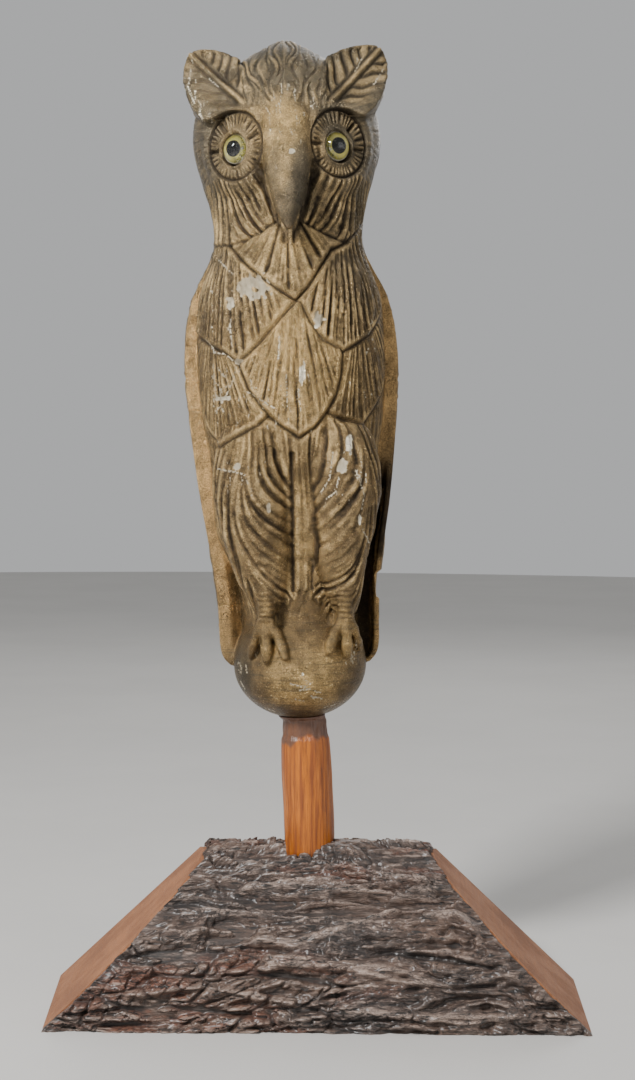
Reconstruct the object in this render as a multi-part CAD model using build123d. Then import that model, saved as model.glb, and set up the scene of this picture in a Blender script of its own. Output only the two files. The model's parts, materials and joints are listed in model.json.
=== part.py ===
"""Owl decoy on a log stand, in millimetres.

A hollow moulded owl, cast in a front and a back half and perched on a ball, stands on a
peeled wooden post. The post is let into a piece of log that still has its bark in front and on
top, and one coach screw from below holds it there. The owl has glass eyes set in putty.

Frame: +Z up, the owl looks along -Y, and the origin is on the floor, in the
middle of the whole thing's length and depth.
The perch frame has its origin on the post's axis at the top of the log, with its Z along the
post, which leans a little towards -X. Everything on the post is modelled in the perch frame.
"""

import os
from math import cos, radians, sin, sqrt

from build123d import *

os.makedirs("parts", exist_ok=True)

# ---- driving dimensions ----
LOG_RADIUS = 119.0  # over the bark
LOG_CENTRE_Y = 26.5  # the log's pith
LOG_CENTRE_HEIGHT = 6.0  # the pith above the flat underside
LOG_BACK_Y = 50.0  # the back is sawn off flat, behind the post
BARK_THICKNESS = 7.0
LOG_BOTTOM_LENGTH = 447.6
LOG_END_ANGLE = 43.3  # slope of the two sawn ends
LOG_END_SPLAY = 3.1  # the saw cuts are a little out of square, so the front is the shorter side
LOG_SPARE = 60.0  # extra length that the saw cuts take off
LOG_TOP = LOG_CENTRE_HEIGHT + LOG_RADIUS

POST_X = -11.0
POST_Y = 16.5
POST_LEAN = 2.1
POST_DEPTH = 62.0  # how far the post goes into the log
POST_RADIUS = 21.2
POST_STRAIGHT = 6.0  # the post is a plain round up to here, above the log
POST_SWELL = 0.6  # then it swells a little before it thins to the neck
POST_NECK_RADIUS = 20.0
TENON_RADIUS = 16.5
TENON_LENGTH = 46.0
POST_VISIBLE = 111.0

RUNNING = 0.08  # radial clearance where the post turns in the log
SEAT_GAP = 0.1  # between the post's shoulder and the ball that rests on it
SLIDING = 0.10  # radial clearance where the owl lifts off the tenon

OWL_HEIGHT = 575.0  # underside of the ball to the crown
WALL = 6.0
PARTING_Y = 4.0  # the two halves meet on this plane
BALL_RADIUS = 56.5
BALL_LOW = 46.0  # the ball's underside is flattened: centre to bottom

EYE_RADIUS = 11.0
EYE_DOME = 12.0  # radius of the glass dome
EYE_PUPIL_RADIUS = 5.4
EYE_X = 42.2  # from the middle of the face
FACE_X = 1.8  # the face is a little to one side
EYE_HEIGHT = 472.0
EYE_Y = -57.0
EYE_TURN = 34.0  # each eye looks outwards by this angle
EYE_ENAMEL = 0.8
EYE_BORE_RADIUS = 11.8
EYE_BACK = -1.0  # flat back of the glass, in front of the eye's own middle
PUTTY_THICKNESS = 10.0
PUTTY_GAP = 0.1
WIRE_RADIUS = 0.6
WIRE_GAP = 0.05
WIRE_LENGTH = 26.0

BLOCK_RADIUS = 32.0
BLOCK_HEIGHT = 66.0

SCREW_RADIUS = 4.0
SCREW_LENGTH = 80.0
SCREW_HEAD_FLATS = 13.0
SCREW_HEAD_HEIGHT = 5.5
WASHER_RADIUS = 11.0
WASHER_THICKNESS = 1.6
COUNTERBORE_RADIUS = 13.0
COUNTERBORE_DEPTH = 14.0
SHANK_GAP = 0.5  # radial clearance of the screw in the log
SCREW_POINT = 9.0

TAPE_WIDTH = 18.0
TAPE_THICKNESS = 1.2

# (height above the ball's underside, half width, half depth) of the two halves
FRONT_SECTIONS = [
    (60, 46, 46),
    (100, 47, 52),
    (126, 53, 58),
    (160, 66, 66),
    (228, 72, 75),
    (305, 80, 82),
    (345, 78, 80),
    (385, 67, 71),
    (416, 61, 66),
    (450, 70, 70),
    (490, 79, 74),
    (520, 75, 72),
    (548, 58, 62),
    (566, 36, 42),
    (575, 14, 18),
]
BACK_SECTIONS = [
    (43, 62, 34),
    (62, 69, 38),
    (92, 69, 42),
    (126, 72, 47),
    (160, 77, 54),
    (203, 83, 61),
    (254, 88, 68),
    (305, 91, 72),
    (345, 87, 71),
    (385, 69, 60),
    (416, 62, 54),
    (450, 71, 57),
    (490, 79, 61),
    (520, 75, 59),
    (548, 58, 50),
    (566, 36, 34),
    (575, 14, 14),
]

# ear outline in the owl's front view: (distance from the middle, height)
EAR_OUTLINE = [
    (34, 556),
    (52, 563),
    (72, 567),
    (80, 562),
    (84.5, 541),
    (82, 527),
    (75, 508),
    (48, 500),
    (26, 530),
]
EAR_FRONT_Y = -30.0
EAR_BACK_Y = 14.0

# (height, half width, half depth, y of the centre) down the beak
BEAK_SECTIONS = [
    (524, 6, 6, -62),
    (500, 15, 13, -64),
    (474, 18, 17, -66),
    (446, 14, 15, -72),
    (420, 7, 8, -81),
    (402, 1.5, 2.5, -88),
]

# (height, half width, half depth, y of the centre) down each leg
LEG_SECTIONS = [
    (225, 20, 14, -54),
    (180, 19, 16, -54),
    (140, 14, 14, -50),
    (108, 9, 9, -49),
    (84, 8, 8, -49),
]
LEG_X = {"left": -29.0, "right": 37.0}  # the owl's feet are not quite in the middle
ANKLE_Y = -49.0
ANKLE_HEIGHT = 84.0
TOE_RADIUS = 4.6
TOE_TIPS = [(-13.5, 51, -50), (0.5, 49, -55), (15, 52, -51)]  # from the leg: across, height, y

SIDES = {"left": -1, "right": 1}  # as seen from the front


def perch():
    """The perch frame as a location."""
    return Location((POST_X, POST_Y, LOG_TOP), (0, -POST_LEAN, 0))


def owl_frame():
    """Height zero at the underside of the ball, in the perch frame."""
    return Location((0, 0, POST_VISIBLE))


def keep_side(shape, front):
    """The part of a shape in front of, or behind, the parting plane."""
    reach = 2 * OWL_HEIGHT
    middle_y = PARTING_Y + (-reach / 2 if front else reach / 2)
    return shape & (Pos(0, middle_y, OWL_HEIGHT / 2) * Box(reach, reach, reach))


def ellipse_loft(sections, shrink=0.0, centre_y=PARTING_Y):
    """A closed loft through level ellipses; shrink moves every section inwards."""
    faces = []
    for section in sections:
        height, half_width, half_depth = section[:3]
        y = section[3] if len(section) > 3 else centre_y
        faces.append(Pos(0, y, height) * Ellipse(half_width - shrink, half_depth - shrink))
    return loft(faces)


def ball(shrink=0.0):
    """The ball under the feet, with its flattened underside."""
    radius = BALL_RADIUS - shrink
    low = BALL_LOW - shrink
    upper = Pos(0, 0, BALL_LOW) * Sphere(radius)
    with BuildSketch(Plane.XZ) as half:
        with Locations((0, BALL_LOW)):
            Ellipse(radius, low)
        with Locations((-BALL_RADIUS, BALL_LOW)):
            Rectangle(2 * BALL_RADIUS, 4 * BALL_RADIUS, mode=Mode.SUBTRACT)
        with Locations((0, BALL_LOW + BALL_RADIUS)):
            Rectangle(4 * BALL_RADIUS, 2 * BALL_RADIUS, mode=Mode.SUBTRACT)
    lower = revolve(half.sketch, Axis.Z)
    cap = Pos(0, 0, BALL_LOW + BALL_RADIUS) * Box(4 * BALL_RADIUS, 4 * BALL_RADIUS, 2 * BALL_RADIUS)
    return (upper & cap) + lower


def underside(radius):
    """Height of the ball's underside at a distance from its axis."""
    return BALL_LOW * (1 - sqrt(1 - (radius / BALL_RADIUS) ** 2))


def ear(side):
    """One ear tuft as a thick leaf."""
    with BuildSketch(Plane.XZ.offset(-EAR_BACK_Y)) as leaf:
        with BuildLine():
            points = [(side * x, z) for x, z in EAR_OUTLINE]
            Spline(*points[:-2])
            Polyline(*points[-3:], points[0])
        make_face()
    return extrude(leaf.sketch, EAR_BACK_Y - EAR_FRONT_Y)


def capsule(start, end, radius):
    """A round bar with round ends."""
    start, end = Vector(*start), Vector(*end)
    along = end - start
    bar = Plane(origin=start, z_dir=along) * Cylinder(
        radius, along.length, align=(Align.CENTER, Align.CENTER, Align.MIN)
    )
    return bar + Pos(*start) * Sphere(radius) + Pos(*end) * Sphere(radius)


def foot(side_name):
    """One feathered leg with its three front toes on the ball."""
    x = LEG_X[side_name]
    leg = Pos(x, 0, 0) * ellipse_loft(LEG_SECTIONS)
    ankle = (x, ANKLE_Y, ANKLE_HEIGHT)
    for across, height, y in TOE_TIPS:
        leg += capsule(ankle, (x + across, y, height), TOE_RADIUS)
    return leg


def cavity():
    """The hollow inside the owl."""
    inner_front = keep_side(ellipse_loft(FRONT_SECTIONS[:-2], WALL), True)
    inner_back = keep_side(ellipse_loft(BACK_SECTIONS[2:-2], WALL + 2), False)
    return inner_front + inner_back + ball(WALL)


def eye_plane(side):
    """Plane of the front of one eye socket, with Z looking out of the owl."""
    turn = radians(EYE_TURN)
    return Plane(
        origin=(FACE_X + side * EYE_X, EYE_Y, EYE_HEIGHT),
        x_dir=(cos(turn), side * sin(turn), 0),
        z_dir=(side * sin(turn), -cos(turn), 0),
    )


def disc(radius, low, high):
    """A disc between two heights on Z."""
    return Pos(0, 0, (low + high) / 2) * Cylinder(radius, high - low)


def eye_parts(side):
    """Glass, iris, pupil, wire and putty of one eye, in the owl frame."""
    plane = eye_plane(side)
    dome_middle = EYE_BACK - sqrt(EYE_DOME**2 - EYE_RADIUS**2)
    front_half = disc(2 * EYE_DOME, EYE_BACK, EYE_BACK + EYE_DOME)
    glass = Pos(0, 0, dome_middle) * Sphere(EYE_DOME) & front_half
    enamel_back = EYE_BACK - EYE_ENAMEL
    iris = disc(EYE_RADIUS, enamel_back, EYE_BACK)
    iris -= disc(EYE_PUPIL_RADIUS, enamel_back - 1, EYE_BACK + 1)
    pupil = disc(EYE_PUPIL_RADIUS, enamel_back, EYE_BACK)
    wire = disc(WIRE_RADIUS, enamel_back - WIRE_LENGTH, enamel_back)
    putty = disc(EYE_BORE_RADIUS - PUTTY_GAP, enamel_back - PUTTY_THICKNESS, enamel_back)
    putty -= disc(WIRE_RADIUS + WIRE_GAP, enamel_back - WIRE_LENGTH, enamel_back + 1)
    parts = {"glass": glass, "iris": iris, "pupil": pupil, "wire": wire, "putty": putty}
    return {name: plane * shape for name, shape in parts.items()}


def eye_bores():
    """The two round holes through the face that the eyes sit in."""
    return [eye_plane(side) * disc(EYE_BORE_RADIUS, -20, 20) for side in SIDES.values()]


def socket_block():
    """Wooden block glued inside the ball, with a blind bore for the post's tenon."""
    block = disc(BLOCK_RADIUS, 0, BLOCK_HEIGHT) & ball(WALL)
    return block - disc(TENON_RADIUS + SLIDING, -1, TENON_LENGTH + 1)


def shells():
    """Front and back half of the moulded owl."""
    hollow = cavity()
    tenon_hole = disc(TENON_RADIUS + SLIDING, -1, 20)
    front = keep_side(ellipse_loft(FRONT_SECTIONS) + ball(), True)
    back = keep_side(ellipse_loft(BACK_SECTIONS) + ball(), False)
    for side in SIDES.values():
        front += keep_side(ear(side), True)
        back += keep_side(ear(side), False)
    front += ellipse_loft(BEAK_SECTIONS)
    front -= hollow
    back -= hollow
    for name in SIDES:
        front += foot(name) - hollow
    for bore in eye_bores():
        front -= bore
    return front - tenon_hole, back - tenon_hole


def seam_tape():
    """Strip pasted inside over the joint between the halves."""
    band = ellipse_loft(FRONT_SECTIONS[2:-2], WALL + 3) - ellipse_loft(
        FRONT_SECTIONS[2:-2], WALL + 3 + TAPE_THICKNESS
    )
    low = FRONT_SECTIONS[2][0] + 4
    high = FRONT_SECTIONS[-3][0] - 4
    slab = Pos(0, PARTING_Y, (low + high) / 2) * Box(OWL_HEIGHT, TAPE_WIDTH, high - low)
    return band & slab


def post():
    """Peeled branch: straight foot in the log, thicker middle, neck and tenon."""
    with BuildSketch(Plane.XZ) as half:
        with BuildLine():
            neck = POST_VISIBLE + underside(POST_NECK_RADIUS) - SEAT_GAP
            tenon_foot = POST_VISIBLE + underside(TENON_RADIUS) - SEAT_GAP
            tenon_top = POST_VISIBLE + TENON_LENGTH
            Line((0, -POST_DEPTH), (POST_RADIUS, -POST_DEPTH))
            Line((POST_RADIUS, -POST_DEPTH), (POST_RADIUS, POST_STRAIGHT))
            Spline(
                (POST_RADIUS, POST_STRAIGHT),
                (POST_RADIUS + POST_SWELL, POST_VISIBLE * 0.6),
                (POST_NECK_RADIUS, neck),
            )
            Line((POST_NECK_RADIUS, neck), (TENON_RADIUS, tenon_foot))
            Line((TENON_RADIUS, tenon_foot), (TENON_RADIUS, tenon_top))
            Line((TENON_RADIUS, tenon_top), (0, tenon_top))
            Line((0, tenon_top), (0, -POST_DEPTH))
        make_face()
    screw_hole = disc(SCREW_RADIUS, -POST_DEPTH - 1, screw_tip())
    return revolve(half.sketch, Axis.Z) - screw_hole


def counterbore_floor():
    """Height of the counterbore's floor in the perch frame."""
    return -LOG_TOP + COUNTERBORE_DEPTH


def screw_tip():
    """Height of the screw's tip in the perch frame."""
    return counterbore_floor() - WASHER_THICKNESS + SCREW_LENGTH


def washer():
    """Flat washer under the screw's head."""
    top = counterbore_floor() - RUNNING
    low = top - WASHER_THICKNESS
    return disc(WASHER_RADIUS, low, top) - disc(SCREW_RADIUS + SHANK_GAP, low - 1, top + 1)


def screw():
    """Coach screw: hexagon head, shank and a pointed tip."""
    under_head = counterbore_floor() - RUNNING - WASHER_THICKNESS
    head = Pos(0, 0, under_head - SCREW_HEAD_HEIGHT) * extrude(
        RegularPolygon(SCREW_HEAD_FLATS / 2, 6, major_radius=False), SCREW_HEAD_HEIGHT
    )
    shank = disc(SCREW_RADIUS, under_head, screw_tip() - SCREW_POINT)
    tip = Pos(0, 0, screw_tip() - SCREW_POINT / 2) * Cone(SCREW_RADIUS, SCREW_RADIUS / 10, SCREW_POINT)
    return head + shank + tip


def log_section(radius):
    """Extruded round of the log, cut flat underneath and at the back."""
    length = LOG_BOTTOM_LENGTH + LOG_SPARE
    bar = Pos(0, LOG_CENTRE_Y, LOG_CENTRE_HEIGHT) * Rot(0, 90, 0) * Cylinder(radius, length)
    reach = 3 * LOG_RADIUS
    kept = Pos(0, LOG_BACK_Y - reach / 2, reach / 2) * Box(2 * length, reach, reach)
    return bar & kept


def saw_ends(shape):
    """Cuts both ends to the mitre."""
    reach = 2 * LOG_BOTTOM_LENGTH
    for side in SIDES.values():
        cutter = Pos(side * reach / 2, 0, 0) * Box(reach, reach, reach)
        lean = Rot(0, side * (LOG_END_ANGLE - 90), 0)
        cut = Pos(side * LOG_BOTTOM_LENGTH / 2, 0, 0) * Rot(0, 0, -side * LOG_END_SPLAY) * lean * cutter
        shape -= cut
    return shape


def log_parts():
    """Heartwood and bark, bored for the post and its screw."""
    post_hole = disc(POST_RADIUS + RUNNING, -POST_DEPTH - SHANK_GAP, POST_VISIBLE)
    shank_hole = disc(SCREW_RADIUS + SHANK_GAP, -LOG_TOP, -POST_DEPTH)
    counterbore = disc(COUNTERBORE_RADIUS, -LOG_TOP - COUNTERBORE_DEPTH, counterbore_floor())
    bores = perch() * (post_hole + shank_hole + counterbore)
    core_radius = LOG_RADIUS - BARK_THICKNESS
    core = saw_ends(log_section(core_radius)) - bores
    bark = saw_ends(log_section(LOG_RADIUS) - log_section(core_radius)) - bores
    return core, bark


def main():
    """Builds every piece and writes one STEP file for each."""
    nodes = {}
    nodes["log_core"], nodes["log_bark"] = log_parts()
    on_post = perch()
    in_owl = on_post * owl_frame()
    nodes["post"] = on_post * post()
    nodes["coach_screw"] = on_post * screw()
    nodes["screw_washer"] = on_post * washer()
    front, back = shells()
    nodes["front_shell"] = in_owl * front
    nodes["back_shell"] = in_owl * back
    nodes["socket_block"] = in_owl * socket_block()
    nodes["seam_tape"] = in_owl * seam_tape()
    for name, side in SIDES.items():
        for piece, shape in eye_parts(side).items():
            nodes[f"{name}_eye_{piece}"] = in_owl * shape
    for name, shape in nodes.items():
        export_step(shape, f"parts/{name}.step")


main()
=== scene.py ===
"""Owl decoy on a log stand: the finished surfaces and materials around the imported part.

Each new piece is shaped in millimetres in its own working frame and then placed in the part's
frame, in metres. The owl's working frame has its height zero at the underside of the ball,
its Z along the post and the owl looking along -Y.
"""

import json
import math

import bpy
import numpy as np
from bpy.props import FloatProperty, FloatVectorProperty, PointerProperty
from mathutils import Matrix, Vector


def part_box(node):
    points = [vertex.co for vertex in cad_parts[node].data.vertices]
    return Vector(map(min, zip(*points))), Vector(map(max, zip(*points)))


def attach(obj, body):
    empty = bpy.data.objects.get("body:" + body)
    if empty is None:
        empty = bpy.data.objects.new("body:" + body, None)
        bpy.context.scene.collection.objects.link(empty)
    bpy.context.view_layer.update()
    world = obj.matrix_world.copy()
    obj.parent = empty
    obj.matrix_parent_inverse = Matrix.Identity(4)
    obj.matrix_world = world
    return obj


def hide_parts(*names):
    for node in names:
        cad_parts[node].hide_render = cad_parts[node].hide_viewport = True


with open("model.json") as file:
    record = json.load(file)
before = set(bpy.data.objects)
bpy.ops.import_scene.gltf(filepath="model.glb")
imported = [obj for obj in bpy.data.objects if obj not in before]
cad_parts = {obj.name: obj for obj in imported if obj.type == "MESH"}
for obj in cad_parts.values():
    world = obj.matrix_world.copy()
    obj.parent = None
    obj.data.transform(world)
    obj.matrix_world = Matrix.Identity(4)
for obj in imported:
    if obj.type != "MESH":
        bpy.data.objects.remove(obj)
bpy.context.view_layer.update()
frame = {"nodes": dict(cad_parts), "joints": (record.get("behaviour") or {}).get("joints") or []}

bl_info = {
    "name": "Owl Decoy",
    "version": (1, 0, 0),
    "blender": (4, 5, 0),
    "location": "View3D > Sidebar > Owl Decoy",
    "description": "Builds a painted owl decoy on its post and log",
    "category": "Add Mesh",
}

TURN = next(joint for joint in frame["joints"] if joint["name"] == "post_turn")
PARTING_Y = 4.0  # the owl's two halves meet here
LOG_CENTRE_HEIGHT = 6.0  # the log's pith above the floor
LOG_END_RUN = 1.06  # how far each sawn end runs in for its height
LOG_END_SPLAY = 0.054  # and how far it runs out towards the back
LOG_CENTRE_Y = 0.0265  # the log's pith, in metres
OWL_FOOT = 111.0  # the ball's underside above the log's top
OWL_HEIGHT = 575.0
BALL_RADIUS = 56.5
BALL_MIDDLE = 46.0  # the ball's middle above its flat underside
SOCKET_RADIUS = 17.3  # the hole for the post under the ball
SOCKET_TOP = 48.5
OWL_TRIANGLES = 385000
BARK_TRIANGLES = 190000

# ---- the owl's main outline: (height, value) ----
FRONT_WIDTH = [
    (44, 47), (60, 48), (79, 48), (103, 47.5), (119, 52), (142, 60.5), (158, 68), (190, 70), (226, 71),
    (253, 76.5), (294, 79.5), (334, 78.7), (356, 77), (369, 73), (380, 68.5), (392, 64), (403, 62),
    (416, 62.5), (429, 64.5), (441, 67.5), (454, 71.7), (467, 75.6), (480, 78.6), (492, 79.2),
    (505, 77.5), (515, 75), (524, 71), (533, 64), (541, 55), (546, 47), (550, 39), (557, 29),
    (562, 22), (567, 13), (571, 3),
]
BACK_WIDTH = [
    (43, 54), (48, 64.5), (54, 67), (62, 68.5), (92, 68.9), (109, 69.8), (126, 71.7), (143, 74.2),
    (160, 76.8), (177, 79.8), (203, 83.3), (228, 86), (254, 88.3), (271, 89.6), (288, 90.6),
    (305, 91.3), (322, 90.2), (339, 88), (356, 84), (369, 78.3), (380, 71.8), (392, 66), (403, 62.7),
    (416, 63), (429, 65), (441, 67.8), (454, 71.9), (467, 75.8), (480, 78.8), (492, 79.4),
    (505, 77.6), (515, 75), (524, 71), (533, 64), (541, 55), (546, 47), (550, 39), (557, 29),
    (562, 22), (567, 13), (571, 3),
]
FRONT_DEPTH = [
    (44, 48), (70, 50), (126, 50), (160, 53), (200, 60), (228, 69), (260, 77), (305, 82), (345, 80),
    (385, 71), (416, 66), (450, 69), (490, 73), (520, 71), (535, 66), (547, 56), (558, 42),
    (565, 29), (571, 8),
]
BACK_DEPTH = [
    (43, 30), (62, 36), (92, 42), (126, 47), (160, 54), (203, 61), (254, 68), (305, 72), (345, 71),
    (385, 60), (416, 54), (450, 57), (490, 60), (520, 57), (535, 52), (547, 45), (558, 35),
    (565, 25), (571, 8),
]
HEAD_SHIFT = [(0, 0), (390, 0), (430, 1.2), (600, 1.8)]  # the head sits a little to one side

BEAK = [  # height, x, y, half width, front depth, back depth
    (520, 2.5, -55, 14, 8, 8), (509, 2.5, -58.5, 18.5, 11, 10), (498, 2.5, -61, 20.5, 13.5, 12),
    (486, 2.5, -63, 21.2, 16, 13), (472, 2.5, -65.5, 21, 18.5, 14), (458, 2.4, -68.5, 19.8, 19.5, 14),
    (446, 2.3, -72, 17.4, 19, 12), (432, 2.3, -76.5, 14.4, 16, 10), (418, 2.3, -81.5, 9.8, 11.5, 8),
    (408, 2.3, -85.5, 5.4, 6.8, 6), (401, 2.3, -88, 2.0, 3, 3),
]
THIGH_LEFT = [
    (250, -34, -52, 18, 14, 18), (236, -35, -49, 26, 21, 20), (215, -36, -47, 30, 24, 22),
    (190, -36, -45, 31, 24, 22), (165, -34, -44, 28.5, 22, 20), (140, -30, -43, 25.5, 19, 17),
    (120, -28, -43, 20.5, 16.5, 14), (109, -26.5, -44.5, 16, 14, 11), (99, -26, -43, 12.5, 10, 10),
    (91, -26, -40, 9, 6, 9),
]
THIGH_RIGHT = [
    (250, 40, -50, 18, 14, 18), (236, 41, -47, 25, 22, 20), (215, 42, -45, 29, 25, 22),
    (190, 42, -43, 29.5, 25, 22), (165, 39, -43, 26.5, 23, 20), (140, 36, -43, 24, 20, 17),
    (120, 37, -43, 18.5, 16.5, 14), (109, 38, -44, 15, 14, 11), (99, 38.6, -43, 11.5, 10, 10),
    (91, 39, -40, 8.5, 6, 9),
]
SHANK_LEFT = [
    (126, -26.5, -46, 12.5, 13, 10), (114, -26, -48, 10.2, 11.5, 9), (104, -25.5, -49, 8.8, 10.3, 9),
    (94, -25.7, -49.5, 8.2, 9.6, 9), (87, -26, -48, 7.2, 8, 8), (81, -26, -45, 5, 5, 6),
]
SHANK_RIGHT = [
    (126, 38.6, -45, 11.5, 13, 10), (114, 38.5, -46.5, 9.6, 11.5, 9), (104, 38.6, -47.5, 8, 10.3, 9),
    (94, 38.8, -48, 7.4, 9.6, 9), (87, 39, -46.5, 6.6, 8, 8), (81, 39, -44, 5, 5, 6),
]
TOES = [  # knuckle points (height, x) from the ankle to the tip, and the radius
    ([(92, -29), (78, -34), (66, -38), (55, -40.5)], 3.9),
    ([(92, -26), (78, -26.3), (66, -26.6), (52, -26.9)], 4.9),
    ([(92, -23), (78, -18), (67, -13.8), (55, -10.6)], 4.7),
    ([(92, 36), (79, 30.5), (69, 26.8), (58, 24.6)], 4.9),
    ([(92, 39), (78, 39.5), (66, 39.7), (53, 39.8)], 4.9),
    ([(92, 42), (78, 46.5), (67, 49.4), (57, 50.5)], 3.7),
]
EARS = {  # outline seen from the front: x, height
    -1: [
        (-30, 503), (-33, 530), (-35, 549), (-45, 554.5), (-55.7, 558.5), (-66, 560.5), (-73.5, 560),
        (-78, 556.5), (-81, 546), (-81.8, 535), (-79, 522), (-73.5, 508), (-66, 497), (-48, 497),
    ],
    1: [
        (36, 503), (36, 530), (37, 548), (49, 554.5), (60, 558.5), (70, 560.8), (78, 560.5), (83.4, 556.5),
        (86.6, 545), (86.5, 533), (82.6, 518), (76, 506), (67, 497), (50, 497),
    ],
}
RIBS = {-1: ((-31, 507), (-74.5, 556.5)), 1: ((40, 508), (80.5, 557))}
EYE_TURN = 36.0
DISC_RADIUS = 27.5
EYE_DASHES = {-1: [(124, 1.0), (180, 1.0), (20, 0.9)], 1: [(47, 1.1), (178, 0.9), (-3, 1.0)]}

# ---- carved lines of the breast: x, height ----
BIB = [
    (-47, 397), (-36.3, 382.2), (-21.6, 367.8), (-9.9, 358.1), (6.3, 347.5), (16.7, 358.1),
    (26.9, 375), (36.3, 390.3), (49, 397), (38, 416), (2, 436), (-36, 416),
]
SHOULDER_LEFT = [
    (-47, 397), (-30, 376), (6.6, 346), (-5.9, 333.2), (-23.5, 313.9), (-42, 297.8), (-51.7, 306.7),
    (-63.6, 314), (-72, 321), (-79, 331), (-99, 352), (-99, 436), (-62, 418),
]
SHOULDER_RIGHT = [
    (49, 397), (36, 388), (7.4, 347), (10.6, 345.3), (17.2, 330), (27.2, 315.5), (43.9, 305.9),
    (55.6, 312.8), (65.7, 321), (73, 333), (77, 345), (99, 362), (99, 436), (62, 418),
]
CENTRE = [
    (5.8, 236.7), (-7.5, 245.6), (-17.7, 253.6), (-25.4, 264.1), (-34.5, 276.9), (-42, 297),
    (-30, 350), (6, 372), (35, 350), (43.8, 306), (41.3, 285), (36.8, 270.5), (29, 256.8),
    (18.9, 244.8),
]
FLANK_LEFT = [
    (-21.2, 253.1), (-34.5, 242.6), (-48.6, 231.8), (-59.1, 234.5), (-67.7, 241.8), (-74, 256),
    (-99, 290), (-99, 350), (-42, 345), (-20, 300), (-16, 256),
]
FLANK_RIGHT = [
    (30.7, 255.7), (45.1, 249.2), (57.9, 246), (63.1, 253.3), (68.2, 260.6), (76, 276), (99, 310),
    (99, 360), (44, 350), (20, 300), (26, 258),
]
COLLARS = [
    [(-99, 425), (-72.9, 408.7), (-60.8, 400.5), (-47, 396.5), (-33, 399), (-20.7, 404), (-8, 412)],
    [(99, 425), (58.2, 408.7), (52.9, 402), (48.6, 396.5), (40.9, 398.2), (30, 403), (14, 411)],
]
CHIPS = [  # where the paint is off: x, height, half width, half height
    (-27.7, 358.6, 12.0, 8.8), (-46.6, 347.5, 2.4, 5.0), (23.7, 331.2, 3.9, 6.0),
    (9.5, 287.6, 2.0, 7.0), (45.9, 231.2, 2.6, 7.5), (39.5, 213, 4.6, 6.0), (-45, 215, 2.6, 3.0),
    (-21, 181, 1.4, 4.5), (-42, 300, 3.2, 2.0), (-56, 271, 7.0, 1.6), (53, 170, 1.3, 4.5),
    (7, 463, 2.6, 2.2), (2.5, 44, 1.1, 1.8), (12, 23, 2.5, 0.9),
]
# the golden spots on the beak and on the toes are painted highlights, the dark ones on the beak's tip and its
# right side are painted shade, and the ball is golden in its middle and darker at its sides and bottom
GOLDEN_AND_DARK = [  # golden areas, and darker ones below zero: x, height, half width, half height, amount
    (2, 474, 17, 26, 0.45), (8, 428, 8, 20, -0.5), (-50, 20, 22, 30, -0.5), (52, 20, 20, 40, -0.5),
    (3, 493, 17, 14, 0.95), (2, 538, 40, 18, -0.5), (2.3, 408, 9, 13, -0.8), (14, 440, 7, 26, -0.9),
    (2, 430, 10, 34, 0.35), (0, 392, 24, 18, 0.6), (2, 300, 34, 46, 0.75), (-10, 262, 30, 26, 0.3),
    (-42, 226, 22, 16, 0.3), (44, 226, 22, 20, 0.3), (4, 30, 26, 20, 1.0), (22, 62, 26, 16, 0.3),
    (6, 170, 7, 60, 0.4), (0, 560, 50, 20, -0.5), (-52, 50, 14, 40, -0.7), (0, 92, 22, 14, -0.1),
    (0, 2, 60, 12, -0.6), (-56, 440, 22, 26, -0.4), (60, 440, 22, 26, -0.4),
    (62, 360, 16, 44, -0.4), (-66, 360, 14, 40, -0.2), (-26, 98, 5, 14, 0.8),
    (38.6, 98, 5, 14, 0.6), (-26, 64, 16, 16, 0.6), (38, 64, 16, 16, 0.65), (-66, 520, 16, 16, 0.4),
    (64, 540, 14, 16, 0.2), (-36, 150, 20, 36, -0.3), (38, 150, 20, 36, -0.25),
    (-41, 472, 26, 26, 0.25), (44, 472, 26, 26, 0.25),
]
# the strokes at the top of the beak and on the left ear's edge are painted glints, in the colour of bare
# plaster
SCUFFS_AND_GLINTS = [  # worn by many small strokes: x, height, half width, half height, how many
    (-12, 268, 30, 26, 46), (-56, 268, 14, 30, 40), (-38, 205, 18, 14, 22), (42, 205, 20, 24, 26),
    (-5, 305, 24, 22, 16), (-78, 530, 7, 24, 22), (-66, 508, 12, 6, 12), (30, 548, 40, 10, 10),
    (44, 60, 8, 12, 12), (-26, 60, 12, 10, 10), (6, 505, 22, 14, 22), (-56, 350, 10, 26, 10),
    (60, 300, 12, 40, 16), (2, 470, 14, 26, 8), (0, 489, 12, 12, 18), (-85, 545, 3, 14, 12),
    (-58, 500, 14, 5, 14),
]
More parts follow.
